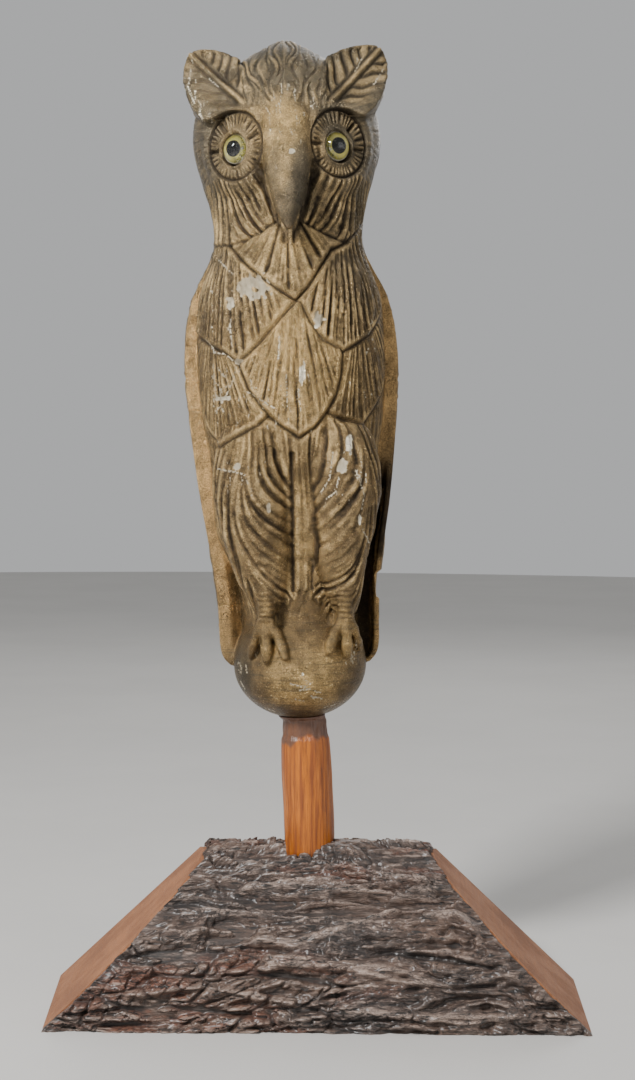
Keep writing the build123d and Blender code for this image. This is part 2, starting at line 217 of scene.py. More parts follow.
SCRATCHES = [  # where it is only scratched: x, height along each line
    [(-69, 321), (-62, 309), (-54, 307), (-43, 298.5)],
    [(-43, 298), (-48, 284), (-55, 271), (-63, 260)], [(-64, 301), (-63, 288), (-61.5, 271)],
    [(-60, 297), (-52, 285)], [(-66, 290), (-57, 276)], [(-35, 275), (-20.5, 266), (-12, 260)],
    [(11.5, 299), (12.0, 286)], [(-3.2, 288), (-3.3, 262)], [(6, 276), (7.5, 258)],
    [(-8, 318), (-9, 300)], [(-48, 330), (-46, 312)], [(-45, 372), (-57, 386)],
    [(33, 226), (29, 203), (21, 192)], [(37, 205), (33, 192), (25, 186)],
    [(-62, 214), (-40, 209), (-37, 201)], [(53, 205), (57, 189), (55, 178)], [(55, 161), (61, 150)],
    [(-51, 52), (-54, 47), (-50, 42), (-49, 47), (-51, 52)], [(-45, 50), (-44, 44)],
    [(-8, 36), (2, 33), (9, 36)], [(3, 31), (7, 36), (4, 40)], [(-76, 545), (-78, 528), (-72, 512)],
    [(-60, 534), (-53, 526)], [(-68, 506), (-66, 498)], [(84, 540), (76, 527)],
    [(66, 548), (60, 536)],
    [(-49, 19), (-53.5, 22), (-54, 30), (-50.5, 35), (-47.5, 29), (-49, 20)], [(0, 30), (8, 31)],
    [(8, 25), (19, 21)], [(-4, 22), (3, 20)], [(12, 29), (17, 27)], [(-34, 12), (-22, 9)],
    [(20, 12), (30, 14)],
]


# ---------------------------------------------------------------- numbers and meshes


def profile(table, soften=4):
    """A smooth curve through a table of (height, value), as a function of height."""
    heights = np.arange(-60.0, 660.0)
    values = np.interp(heights, *np.array(table, float).T)
    reach = np.arange(-4 * soften, 4 * soften + 1)
    weights = np.exp(-0.5 * (reach / soften) ** 2)
    padded = np.pad(values, 4 * soften, mode="edge")
    smooth = np.convolve(padded, weights / weights.sum(), "valid")
    return lambda height: np.interp(height, heights, smooth)


front_width, back_width = profile(FRONT_WIDTH), profile(BACK_WIDTH)
front_depth, back_depth = profile(FRONT_DEPTH, 6), profile(BACK_DEPTH, 6)
head_shift = profile(HEAD_SHIFT, 8)


def ramp(value, low, high):
    """Smooth step from 0 at low to 1 at high."""
    share = np.clip((value - low) / (high - low), 0, 1)
    return share * share * (3 - 2 * share)


def only(obj):
    """Makes one object the only selected one."""
    if bpy.context.object and bpy.context.object.mode != "OBJECT":
        bpy.ops.object.mode_set(mode="OBJECT")
    bpy.ops.object.select_all(action="DESELECT")
    obj.select_set(True)
    bpy.context.view_layer.objects.active = obj


def apply_modifier(obj, kind, **settings):
    """Adds a modifier and applies it."""
    only(obj)
    modifier = obj.modifiers.new(kind.title(), kind)
    for key, value in settings.items():
        setattr(modifier, key, value)
    bpy.ops.object.modifier_apply(modifier=modifier.name)


def points_of(obj):
    """The mesh's vertices as an array."""
    points = np.empty(len(obj.data.vertices) * 3, np.float32)
    obj.data.vertices.foreach_get("co", points)
    return points.reshape(-1, 3).astype(float)


def set_points(obj, points):
    """Moves the mesh's vertices."""
    obj.data.vertices.foreach_set("co", np.asarray(points, np.float32).ravel())
    obj.data.update()


def normals_of(obj):
    """The mesh's vertex normals as an array."""
    normals = np.empty(len(obj.data.vertices) * 3, np.float32)
    obj.data.vertices.foreach_get("normal", normals)
    return normals.reshape(-1, 3).astype(float)


def set_mask(obj, name, values):
    """Stores one number for each vertex, for the material to read."""
    layer = obj.data.attributes.get(name) or obj.data.attributes.new(name, "FLOAT", "POINT")
    layer.data.foreach_set("value", np.asarray(values, np.float32))


def join(objects, name):
    """Joins objects into one."""
    only(objects[0])
    for obj in objects[1:]:
        obj.select_set(True)
    bpy.ops.object.join()
    joined = bpy.context.object
    joined.name = joined.data.name = name
    return joined


def place(obj, matrix):
    """Puts a finished mesh in the part's frame, with its object at the origin."""
    obj.data.transform(matrix)
    obj.matrix_world = Matrix.Identity(4)
    obj.data.update()


def perch_matrix(height=0.0):
    """From millimetres on the post's axis, a height above the log's top, to the part's frame."""
    axis = Vector(TURN["axis"]).normalized()
    side = Vector((0, 1, 0)).cross(axis)
    turn = Matrix((side, Vector((0, 1, 0)), axis)).transposed().to_4x4()
    foot = Matrix.Translation(Vector(TURN["pos_m"]))
    return foot @ turn @ Matrix.Scale(0.001, 4) @ Matrix.Translation((0, 0, height))


def level_form(rows, segments=48, rings=64):
    """A closed form through level ovals: height, x, y, half width, front depth, back depth."""
    rows = np.array(sorted(rows, reverse=True), float)
    bpy.ops.object.select_all(action="DESELECT")
    bpy.ops.mesh.primitive_uv_sphere_add(segments=segments, ring_count=rings, radius=1)
    obj = bpy.context.object
    points = points_of(obj)
    share = np.arccos(np.clip(points[:, 2], -1, 1)) / math.pi * (len(rows) - 1)
    height, x, y, wide, front, back = (
        np.interp(share, np.arange(len(rows)), column) for column in rows.T
    )
    radius = np.hypot(points[:, 0], points[:, 1])
    across = np.where(radius > 1e-5, points[:, 0] / np.maximum(radius, 1e-5), 0)
    along = np.where(radius > 1e-5, points[:, 1] / np.maximum(radius, 1e-5), 0)
    depth = np.where(along < 0, front, back)
    set_points(obj, np.column_stack([x + across * wide, y + along * depth, height]))
    return obj


def blurred(grid, size):
    """Gaussian blur of a grid by its spectrum; size is in cells."""
    rows = np.fft.fftfreq(grid.shape[0])[:, None]
    columns = np.fft.rfftfreq(grid.shape[1])[None, :]
    weight = np.exp(-2 * (math.pi * size) ** 2 * (rows**2 + columns**2))
    return np.fft.irfft2(np.fft.rfft2(grid) * weight, grid.shape)


def sample(grid, column, row):
    """Bilinear reading of a grid at fractional places."""
    column = np.clip(column, 0, grid.shape[1] - 1.001)
    row = np.clip(row, 0, grid.shape[0] - 1.001)
    c, r = column.astype(int), row.astype(int)
    fc, fr = column - c, row - r
    top = grid[r, c] * (1 - fc) + grid[r, c + 1] * fc
    low = grid[r + 1, c] * (1 - fc) + grid[r + 1, c + 1] * fc
    return top * (1 - fr) + low * fr


# ---------------------------------------------------------------- the carving


class Carving:
    """A flat map of carved relief: u runs round the body and w up it, in millimetres."""

    CELL = 0.5

    def __init__(self, half_round, low, high, seed):
        self.left, self.low = -half_round, low
        across = np.arange(-half_round, half_round, self.CELL)
        up = np.arange(low, high, self.CELL)
        self.u, self.w = np.meshgrid(across, up)
        self.height = np.zeros(self.u.shape)
        self.angle = np.full(self.u.shape, -math.pi / 2)
        self.depth = np.zeros(self.u.shape)
        self.region = np.zeros(self.u.shape, int)
        self.fine = np.zeros(self.u.shape)
        self.seed = seed

    def window(self, points, margin=14.0):
        """The part of the map round some points."""
        low, high = np.min(points, 0) - margin, np.max(points, 0) + margin
        ends = np.array([low, high])
        columns = np.clip((ends[:, 0] - self.left) / self.CELL, 0, self.u.shape[1]).astype(int)
        rows = np.clip((ends[:, 1] - self.low) / self.CELL, 0, self.u.shape[0]).astype(int)
        return np.s_[rows[0] : rows[1], columns[0] : columns[1]]

    def distance(self, points, part, closed=True):
        """Distance to an outline, positive inside it, or to an open line."""
        u, w = self.u[part], self.w[part]
        nearest = np.full(u.shape, 1e9)
        inside = np.zeros(u.shape, bool)
        ends = np.roll(points, -1, 0) if closed else points[1:]
        for (x0, y0), (x1, y1) in zip(points, ends):
            dx, dy = x1 - x0, y1 - y0
            share = np.clip(((u - x0) * dx + (w - y0) * dy) / (dx * dx + dy * dy + 1e-9), 0, 1)
            nearest = np.minimum(nearest, (u - x0 - share * dx) ** 2 + (w - y0 - share * dy) ** 2)
            if closed and y0 != y1:
                inside ^= ((y0 > w) != (y1 > w)) & (u < dx * (w - y0) / dy + x0)
        nearest = np.sqrt(nearest)
        return np.where(inside, nearest, -nearest) if closed else nearest

    def feather(self, outline, origin, depth=1.0, lift=0.9, groove=1.7, width=1.6, rim=3.0, fine=0.0):
        """One feather over what is there: a raised edge, a groove round it and barbs from its origin."""
        outline = np.array(outline, float)
        part = self.window(outline)
        inward = self.distance(outline, part)
        inside = inward > 0
        self.height[part] = np.where(inside, lift * np.exp(-np.maximum(inward, 0) / 9), self.height[part])
        self.height[part] -= groove * np.exp(-((inward / width) ** 2))
        self.height[part] += 0.35 * groove * np.exp(-(((inward - 2.6 * width) / width) ** 2)) * inside
        fan = np.arctan2(self.w[part] - origin[1], self.u[part] - origin[0])
        self.angle[part] = np.where(inside, fan, self.angle[part])
        self.depth[part] = np.where(inside, depth * ramp(inward, 0.4 * rim, 1.8 * rim), self.depth[part])
        self.depth[part] *= np.where(inside, 1, ramp(-inward, 0.5 * width, 2 * width))
        self.region[part] = np.where(inside, self.region.max() + 1, self.region[part])
        self.fine[part] = np.where(inside, fine, self.fine[part])

    def crease(self, line, depth, width):
        """A groove along a line."""
        line = np.array(line, float)
        part = self.window(line)
        self.height[part] -= depth * np.exp(-((self.distance(line, part, False) / width) ** 2))

    def flow(self, where, angle, depth, fine=0.0):
        """Sets the direction, depth and fineness of the gouges in part of the map."""
        self.angle[where] = angle[where]
        self.depth[where] = depth
        self.fine[where] = fine
        self.region[where] = self.region.max() + 1

    def streaks(self, pitch, reach, seed):
        """Long streaks that follow the map's directions, about a pitch apart."""
        grain = np.random.default_rng(seed).standard_normal(self.u.shape)
        size = pitch / self.CELL
        grain = blurred(grain, 0.16 * size) - blurred(grain, 0.36 * size)
        rows, columns = np.indices(self.u.shape)
        step = 2.4
        total = grain.copy()
        across, up = np.cos(self.angle), np.sin(self.angle)
        for sign in (1, -1):
            r, c = rows.astype(np.float32), columns.astype(np.float32)
            ri, ci = rows, columns
            same = np.ones(self.u.shape, bool)
            for _ in range(int(reach / (step * self.CELL))):
                r = np.clip(r + sign * step * up[ri, ci], 0, rows[-1, 0])
                c = np.clip(c + sign * step * across[ri, ci], 0, columns[0, -1])
                ri, ci = np.rint(r).astype(int), np.rint(c).astype(int)
                same &= self.region[ri, ci] == self.region
                total += grain[ri, ci] * same
        total = blurred(total, 0.9)
        return total / total.std()

    def gouges(self, coarse=6.4, fine=4.0):
        """Cuts rounded flutes with sharper valleys between them."""
        wide, narrow = self.streaks(coarse, 24, self.seed), self.streaks(fine, 18, self.seed + 7)
        for value, share in ((wide, 1 - 0.85 * self.fine), (narrow, 0.3 + 0.55 * self.fine)):
            flute = 0.75 * np.tanh(1.1 * value) - 1.0 * ramp(-value, 0.25, 1.8)
            self.height += self.depth * share * flute

    def finish(self):
        """Works out the masks: how far each place is sunk below or stands above what is round it."""
        hand = np.random.default_rng(self.seed + 1).standard_normal(self.u.shape)
        hand = blurred(hand, 14 / self.CELL)
        self.height += 0.28 * hand / hand.std()
        around = blurred(self.height, 2.6 / self.CELL)
        self.sunk = np.clip((around - self.height) / 1.05, 0, 1) ** 1.1
        self.proud = np.clip((self.height - around) / 0.6, 0, 1)

    def read(self, grid, u, w):
        """The map's value at places on the body."""
        return sample(grid, (u - self.left) / self.CELL, (w - self.low) / self.CELL)


def round_front(x, height):
    """Distance round the front of the body of a place seen from the front."""
    share = np.clip((np.asarray(x, float) - head_shift(height)) / front_width(height), -1, 1)
    return np.arcsin(share) * (front_width(height) + front_depth(height)) / 2


def on_front(points):
    """Places seen from the front, on the front map."""
    return [(float(round_front(x, height)), height) for x, height in points]


def toward(u, w, x, height):
    """Direction from each place of the map to one place."""
    return np.arctan2(height - w, x - u)


def carve_front():
    """The front map: breast feathers, legs, cheeks and forehead."""
    cut = Carving(136, 20, 585, 5)
    u, w = cut.u, cut.w
    cut.flow(w < 600, toward(u, w, 0, -500), 0.4)
    # legs: barbs that slant in to the strip between the legs, and run down to the ankle outside
    for side, ankle, top in ((-1, -27.0, -40.0), (1, 39.5, 50.0)):
        axis = np.interp(w, [105, 165, 240], [ankle, (ankle + top) / 2 - side, top])
        inner = (axis - u) * side
        sway = 5 * np.sin(w * 0.06 + side) + 6 * np.sin(u * 0.13 + w * 0.045)
        swing = np.radians(sway + 4 + 38 * ramp(inner, -3, 20) * ramp(w, 232, 178))
        inward = np.arctan2(-np.cos(swing), -side * np.sin(swing))
        outward = toward(u, w, ankle + side * 6 + 0.5 * (u - ankle) * ramp(w, 120, 230), 62)
        leg = (u * side > (12.5 if side > 0 else 1.0)) & (w < 262)
        cut.flow(leg, np.where(inner > 0, inward, outward), 0.82, 0.2)
    strip = (u > -1.5) & (u < 13.2) & (w < 226)
    cut.flow(strip, np.full(u.shape, -math.pi / 2), 0.5, 0.9)
    cut.crease([(-1.2, 224), (-1.6, 180), (-3.2, 112)], 2.6, 1.7)
    cut.crease([(13.0, 224), (13.4, 180), (12.6, 112)], 1.2, 1.3)
    ragged = 111 - 17 * np.abs((u - 5) / 22) ** 1.3 + 2.2 * np.sin(u * 0.9) + 1.5 * np.sin(u * 0.37)
    smooth = (w < ragged) & (np.abs(u - 5) < 24)
    cut.depth[smooth] = 0
    cut.depth[w < 100] *= ramp(w, 86, 100)[w < 100]
    cut.height[smooth] -= 1.1
    cut.feather(on_front(FLANK_LEFT), (-74, 345), 0.85, fine=0.6)
    cut.feather(on_front(FLANK_RIGHT), (66, 352), 0.85, fine=0.6)
    cut.feather(on_front(CENTRE), (6, 388), 0.8, groove=2.0, fine=0.8)
    cut.feather(on_front(SHOULDER_LEFT), (-50, 475), 0.95)
    cut.feather(on_front(SHOULDER_RIGHT), (54, 475), 0.95)
    cut.feather(on_front(BIB), (1, 428), 0.95, groove=1.2)
    for quill in ([(5.0, 342), (4.4, 300), (5.4, 250)], [(8.0, 342), (7.4, 300), (6.6, 250)]):
        cut.crease(quill, 0.7, 0.8)
    # cheeks: gouges that sweep down from the eyes to the tip of the beak
    collar = np.interp(u, *np.array(sorted(on_front(COLLARS[0]) + [(0, 418)] + on_front(COLLARS[1]))).T)
    aim = 2 + (u - 2) * (0.25 + 0.8 * ramp(np.abs(u - 2), 22, 68))
    for side in (-1, 1):
        where = (w > collar) & (u * side > 0) & (w < 450)
        cut.flow(where, np.arctan2(386 - w, aim - u), 1.45, 0.05)
    cut.height[w > collar] = 0.4
    cut.depth[(w > 432) & (w < 450)] *= 0.6
    cut.flow(w >= 450, toward(u, w, 2, 478), 0.25, 0.7)
    forehead = (w > 500) & (np.abs(u) < 50)
    cut.flow(forehead, toward(u, w, 2, 440) + 0.7 * np.sin(u * 0.2) * np.sin(w * 0.17), 0.6, 0.9)
    for line in COLLARS:
        cut.crease(on_front(line), 1.7, 1.4)
    cut.gouges()
    cut.finish()
    return cut


def leaf(u, w, wide, long):
    """Outline of a rounded feather with its tip at (u, w)."""
    turn = np.linspace(0, math.pi, 13)
    outline = [(u + wide / 2 * math.cos(a), w + long * (0.48 - 0.48 * math.sin(a) ** 0.8)) for a in turn]
    return outline + [(u - wide / 2, w + long * 1.3), (u + wide / 2, w + long * 1.3)]


def carve_back():
    """The back map: head, mantle, folded wings and tail."""
    cut = Carving(140, 20, 585, 11)
    u, w = cut.u, cut.w
    cut.flow(w < 600, toward(u, w, 0, -500), 0.5)
    for index, x in enumerate((-19, 19, 0)):  # tail
        tip = (62, 62, 52)[index]
        outline = [(x - 11, 280), (x - 12, tip + 16), (x, tip), (x + 12, tip + 16), (x + 11, 280)]
        cut.feather(outline, (x, 420), 0.6, groove=1.5)
        cut.crease([(x, 275), (x, tip + 10)], 0.7, 0.8)
    for side in (-1, 1):  # long wing feathers, the inner ones above the outer ones
        for index in range(6):
            tip_w = 46 + 22 * index
            tip_u = side * (88 - 11.5 * index)
            root_u = side * (118 - 17 * index)
            line = np.array([(root_u, 322), ((root_u + tip_u) / 2 + side * 7, 215), (tip_u, tip_w)])
            wide = 10.5 + 0.6 * index
            left, right = line.copy(), line.copy()
            left[:, 0] -= side * wide * np.array([1, 1.1, 0.75])
            right[:, 0] += side * wide * np.array([1, 1.1, 0.75])
            left[2, 1] += 22
            right[2, 1] += 16
            cut.feather([*left, line[2], *right[::-1]], (root_u, 560), 0.7, groove=1.7)
            cut.crease(line, 0.8, 0.8)
    row = 0
    for base in np.arange(262, 400, 27.0):  # scale feathers of the mantle
        count = 9 if row % 2 else 8
        for index in range(count):
            x = (index - (count - 1) / 2) * 31
            cut.feather(leaf(x, base + 3 * math.sin(x), 33, 34), (x, base + 90), 0.8, groove=1.5)
            cut.crease([(x, base + 30), (x, base + 6)], 0.5, 0.8)
        row += 1
    nape = w > 412 + 7 * np.sin(u * 0.21) + 4 * np.sin(u * 0.53 + 1)
    cut.height[nape] = 0.3
    cut.flow(nape, toward(u, w, 0, 330), 0.6)
    cut.gouges()
    cut.finish()
    return cut


# ---------------------------------------------------------------- the owl's base form


def ball_front_y(x, height):
    """Y of the front of the ball."""
    return -np.sqrt(np.maximum(BALL_RADIUS**2 - x**2 - (height - BALL_MIDDLE) ** 2, 25))


def ear_front_y(x, height):
    """Y of the front of an ear, which leans back as it rises."""
    return -60 + 0.42 * (height - 505) + 0.36 * (np.abs(x - 2) - 35)


def ear_form(side):
    """One ear as a thick leaf."""
    outline = np.array(EARS[side], float)
    bpy.ops.object.select_all(action="DESELECT")
    bpy.ops.mesh.primitive_circle_add(vertices=len(outline), radius=1, fill_type="NGON")
    obj = bpy.context.object
    bpy.ops.object.mode_set(mode="EDIT")
    bpy.ops.mesh.select_all(action="SELECT")
    bpy.ops.mesh.extrude_region_move(TRANSFORM_OT_translate={"value": (0, 0, 1)})
    bpy.ops.object.mode_set(mode="OBJECT")
    points = points_of(obj)
    order = np.rint(np.arctan2(-points[:, 0], points[:, 1]) / (2 * math.pi) * len(outline)).astype(int)
    x, height = outline[order % len(outline)].T
    front = ear_front_y(x, height)
    thick = np.interp(height, [497, 530, 566], [34, 20, 11])
    y = np.where(points[:, 2] > 0.5, front, front + thick)
    set_points(obj, np.column_stack([x, y, height]))
    only(obj)
    bpy.ops.object.mode_set(mode="EDIT")
    bpy.ops.mesh.select_all(action="SELECT")
    bpy.ops.mesh.normals_make_consistent(inside=False)
    bpy.ops.object.mode_set(mode="OBJECT")
    return obj


def toe_form(knuckles, radius):
    """One toe that lies on the ball, thicker at its joints."""
    heights = np.linspace(knuckles[0][0], knuckles[-1][0], 13)
    path = np.array(knuckles[::-1], float)
    tip_y = float(ball_front_y(path[0, 1], path[0, 0])) - 1.6
    rows = []
    for index, height in enumerate(heights):
        x = np.interp(height, path[:, 0], path[:, 1])
        share = index / 12
        y = min(float(ball_front_y(x, height)) - 1.8, -51.5 + (tip_y + 51.5) * share**1.8)
        swell = radius * (1 + 0.13 * math.cos(index * 1.55)) * {0: 0.7, 11: 0.85, 12: 0.4}.get(index, 1)
        rows.append((height, x, y, swell, swell * 1.1, swell * 1.3))
    return level_form(rows, 24, 36)


def foot_pad(x):
    """Fills the gap between a foot and the ball."""
    rows = [(92, x, -40, 8, 6, 10), (80, x, -37, 9, 5, 16), (70, x, -35, 10, 3, 16), (62, x, -34, 9, 1.5, 12)]
    return level_form(rows, 32, 24)


def owl_base(voxel):
    """The owl as one smooth skin, before any carving."""
    heights = np.linspace(571, 43, 150)
    shift = head_shift(heights)
    deep = np.full(heights.shape, 22.0)
    middle = np.full(heights.shape, PARTING_Y)
    front_rows = np.column_stack([heights, shift, middle, front_width(heights), front_depth(heights), deep])
    back_rows = np.column_stack([heights, shift, middle, back_width(heights), 0 * deep, back_depth(heights)])
    parts = [level_form(front_rows.tolist(), 144, 220), level_form(back_rows.tolist(), 144, 220)]
    # the wings are hollow inside their rims, more so on the right
    points = points_of(parts[1])
    edge = back_width(points[:, 2]) - np.abs(points[:, 0] - head_shift(points[:, 2]))
    flat = (points[:, 1] < PARTING_Y + 0.1) & (edge > 0)
    inward = np.clip(1 - edge / back_width(points[:, 2]), -1, 1)
    room = 0.55 * back_depth(points[:, 2]) * np.sqrt(1 - inward**2)
    depth = np.minimum(np.where(points[:, 0] > 0, 22.0, 10.0), room)
    rim = np.where(points[:, 0] > 0, ramp(edge, 4, 8), ramp(edge, 9, 22))
    points[:, 1] += flat * depth * rim * ramp(points[:, 2], 225, 175)
    set_points(parts[1], points)
    turn = np.linspace(0, math.pi, 40)
    reach = np.where(turn < math.pi / 2, BALL_RADIUS, BALL_MIDDLE)
    wide = BALL_RADIUS * np.sin(turn)
    ball = np.column_stack([BALL_MIDDLE + reach * np.cos(turn), 0 * turn, 0 * turn, wide, wide, wide])
    parts.append(level_form(ball.tolist(), 96, 64))
    tail = [
        (230, 0, 45, 30, 20, 22), (150, 0, 46, 32, 20, 18), (100, 0, 50, 32, 16, 14),
        (70, 0, 53, 28, 12, 10), (52, 0, 54, 18, 8, 8),
    ]
    for rows in (BEAK, THIGH_LEFT, THIGH_RIGHT, SHANK_LEFT, SHANK_RIGHT, tail):
        parts.append(level_form(rows))
    parts += [toe_form(knuckles, radius) for knuckles, radius in TOES]
    parts += [foot_pad(-27.0), foot_pad(38.5)]
    parts += [ear_form(side) for side in EARS]
    owl = join(parts, "owl")
    apply_modifier(owl, "REMESH", mode="VOXEL", voxel_size=voxel, adaptivity=0.0)
    apply_modifier(owl, "SMOOTH", factor=0.5, iterations=max(3, round(9 / voxel)))
    return owl


# ---------------------------------------------------------------- carving the skin


def inside_outline(outline, x, y):
    """True for each place inside a closed outline."""
    inside = np.zeros(x.shape, bool)
    outline = np.array(outline, float)
    for (x0, y0), (x1, y1) in zip(outline, np.roll(outline, -1, 0)):
        if y0 != y1:
            inside ^= ((y0 > y) != (y1 > y)) & (x < (x1 - x0) * (y - y0) / (y1 - y0) + x0)
    return inside


def eye_frame(side):
    """Middle, outward direction and sideways direction of one eye."""
    low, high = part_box(("left" if side < 0 else "right") + "_eye_iris")
    middle = (low + high) / 2
    middle = np.array(perch_matrix(OWL_FOOT).inverted() @ middle)
    turn = math.radians(EYE_TURN)
    out = np.array([side * math.sin(turn), -math.cos(turn), 0])
    across = np.array([math.cos(turn), side * math.sin(turn), 0])
    return middle, out, across


def carve_eye_discs(points, normals, sunk, proud, keep):
    """Flattens the disc round each eye, cuts its rim, its rays and the hole for the eye."""
    for side in (-1, 1):
        middle, out, across = eye_frame(side)
        offset = points - middle
        height = offset @ out
        flat_x, flat_y = offset @ across, offset[:, 2]
        radius = np.hypot(flat_x, flat_y)
        from_disc = np.hypot(flat_x - 1.0, flat_y - 2.0)
        near = (height > -30) & (from_disc < 34) & (normals @ out > 0.1)
        near &= np.abs(points[:, 0] - 2.3) > 13
        near_wide = (height > -30) & (normals @ out > 0.25) & (points[:, 1] < -20) & (points[:, 2] < 503)
        near_wide &= np.abs(points[:, 0] - 2.3) > 20
        weight = near * ramp(from_disc, DISC_RADIUS + 2.2, DISC_RADIUS - 0.6)
        target = 1.2 + 0.4 * ramp(from_disc, 14, 27)
        target = target - 2.6 * np.exp(-(((from_disc - DISC_RADIUS + 0.5) / 1.25) ** 2))
        target = target + 1.3 * np.exp(-(((radius - 14.3) / 1.7) ** 2))
        bearing = np.arctan2(flat_y, flat_x)
        ray = 0.5 + 0.5 * np.cos(bearing * 38 + 1.6 * np.sin(bearing * 5 + side) + 0.9 * np.sin(bearing * 11))
        band = ramp(radius, 15.8, 18.5) * ramp(from_disc, DISC_RADIUS - 0.8, DISC_RADIUS - 3.0)
        long = 0.55 + 0.45 * np.sin(bearing * 9 + side * 2)
        cut = band * ray**2.2 * (0.3 + 0.7 * ramp(radius, 16 + 5 * long, 20 + 4 * long))
        target = target - 1.6 * cut
        view = np.degrees(np.arctan2(points[:, 2] - middle[2], (points[:, 0] - middle[0]) / math.cos(0.62)))
        for degrees, strength in EYE_DASHES[side]:
            away = np.abs((view - degrees + 180) % 360 - 180) * math.pi / 180 * radius
            dash = np.exp(-((away / 1.35) ** 2)) * ramp(radius, 14.5, 16) * ramp(radius, 27, 25)
            target = target - 3.2 * strength * dash
            cut = np.maximum(cut, dash)
        drop = np.hypot(flat_x, flat_y + 1.3)
        hole = ramp(drop, 13.0, 12.2) * near
        target = np.where(hole > 0, target * (1 - hole) - 6.5 * hole, target)
        around = near_wide * ramp(from_disc, DISC_RADIUS + 17, DISC_RADIUS + 1) * (1 - weight)
        points += np.outer(weight * (target - height) + around * np.clip(1.2 - height, 0, 9), out)
        groove = np.exp(-(((from_disc - DISC_RADIUS + 0.5) / 1.3) ** 2))
        # the disc's rim groove, rays and dashes go dark partly as painted shade, and the hole for the eye
        # goes dark as painted shade
        sunk[:] = np.maximum(sunk * (1 - weight), near * np.maximum(groove, cut * weight))
        sunk[:] = np.maximum(sunk, hole * weight)
        proud[:] = np.where(weight > 0.5, 0.5 * band * (1 - ray), proud)
        keep *= 1 - near * ramp(from_disc, DISC_RADIUS + 2.5, DISC_RADIUS)
    return points


def carve_ears(points, normals, sunk, proud, keep):
    """A rib and barbs on the front of each ear."""
    x, y, height = points.T
    for side in (-1, 1):
        start, end = np.array(RIBS[side][0], float), np.array(RIBS[side][1], float)
        along = (end - start) / np.linalg.norm(end - start)
        away = np.array([-along[1], along[0]]) * side  # towards the crown
        s = (x - start[0]) * along[0] + (height - start[1]) * along[1]
        d = (x - start[0]) * away[0] + (height - start[1]) * away[1]
        face = inside_outline(EARS[side], x, height) & (normals[:, 1] < -0.15)
        face &= (np.abs(y - ear_front_y(x, height)) < 9) & (height > 500)
        upper = face * ramp(height - 500 + 0.2 * d, 2, 9)
        rib = np.exp(-((d / 2.0) ** 2))
        beside = np.exp(-(((np.abs(d + 0.4) - 3.4) / 1.5) ** 2))
        inner_phase = (x * side * 1.02 + height * 0.16) / 8.2
        outer_phase = (height - 0.25 * side * x) / 8.6
        barb = np.where(d > 0, inner_phase, outer_phase)
        barb = barb + 0.09 * np.sin(x * 0.31) + 0.07 * np.sin(height * 0.23)
        barb = (0.5 + 0.5 * np.cos(2 * math.pi * barb)) ** 2.4
        reach = ramp(np.abs(d), 3.0, 7.0)
        span = np.where(d > 0, ramp(d, 32, 18), (0.9 if side > 0 else 0.5) * ramp(-d, 26, 14))
        carved = 1.2 * rib - 1.3 * beside - (1.7 if side > 0 else 1.15) * barb * reach * span
        hollow = -1.6 * ramp(np.abs(d), 2, 12) * ramp(np.abs(d), 26, 12)
        points += normals * (upper * (carved + hollow) * ramp(s, -6, 4))[:, None]
        mark = 0.8 * np.maximum(beside, barb * reach * span) * upper
        sunk[:] = np.maximum(sunk * (1 - upper), mark)
        proud[:] = np.maximum(proud * (1 - upper), upper * np.maximum(rib, 0.7 * (1 - barb) * reach * span))
        keep *= 1 - upper
    return points


def chip_and_glint_mask(x, height, seed=3):
    """Where the paint is off, with ragged edges; a few of the scuffed strokes stand for glints, as painted
    highlights.
    """
    wave = np.zeros(x.shape)
    draw = np.random.default_rng(seed)
    for _ in range(10):
        a, b, c = draw.uniform(-1.3, 1.3, 2).tolist() + [draw.uniform(0, 6.3)]
        wave += np.sin(a * x + b * height + c) / 4.2
    mask = np.zeros(x.shape)
    for cx, cw, rx, rw in CHIPS:
        away = np.hypot((x - cx) / rx, (height - cw) / rw) * (1 + 0.3 * wave)
        mask = np.maximum(mask, ramp(away, 1.12, 0.9))
    hole = np.hypot((x + 26.5) / 3.2, (height - 357.0) / 2.2) * (1 + 0.4 * wave)
    mask *= 1 - 0.8 * ramp(hole, 1.2, 0.8)
    broken = ramp(np.sin(2.1 * x + 1.3 * height) + np.sin(1.4 * x - 2.3 * height + 1) + 0.8 * wave, -1.2, 0.1)
    for line in SCRATCHES:
        for (x0, y0), (x1, y1) in zip(line, line[1:]):
            dx, dy = x1 - x0, y1 - y0
            share = np.clip(((x - x0) * dx + (height - y0) * dy) / (dx * dx + dy * dy), 0, 1)
            away = np.hypot(x - x0 - share * dx, height - y0 - share * dy) + 0.35 * wave
            mask = np.maximum(mask, 0.9 * ramp(away, 1.15, 0.35) * broken)
    draw = np.random.default_rng(seed)
    for middle_x, middle_height, half_width, half_height, count in SCUFFS_AND_GLINTS:
        for _ in range(count):
            x0 = middle_x + half_width * draw.uniform(-1, 1)
            y0 = middle_height + half_height * draw.uniform(-1, 1)
            long, lean = draw.uniform(1.5, 8), draw.normal(0, 0.16)
            near = (np.abs(x - x0) < 8) & (np.abs(height - y0) < 9)
            dx, dy = x[near] - x0, height[near] - y0
            stroke = ramp(np.abs(dx - lean * dy) + 0.3 * wave[near], 0.95, 0.25)
            stroke *= ramp(np.abs(dy), long, 0.5 * long)
            mask[near] = np.maximum(mask[near], draw.uniform(0.35, 0.85) * stroke * broken[near])
    return mask


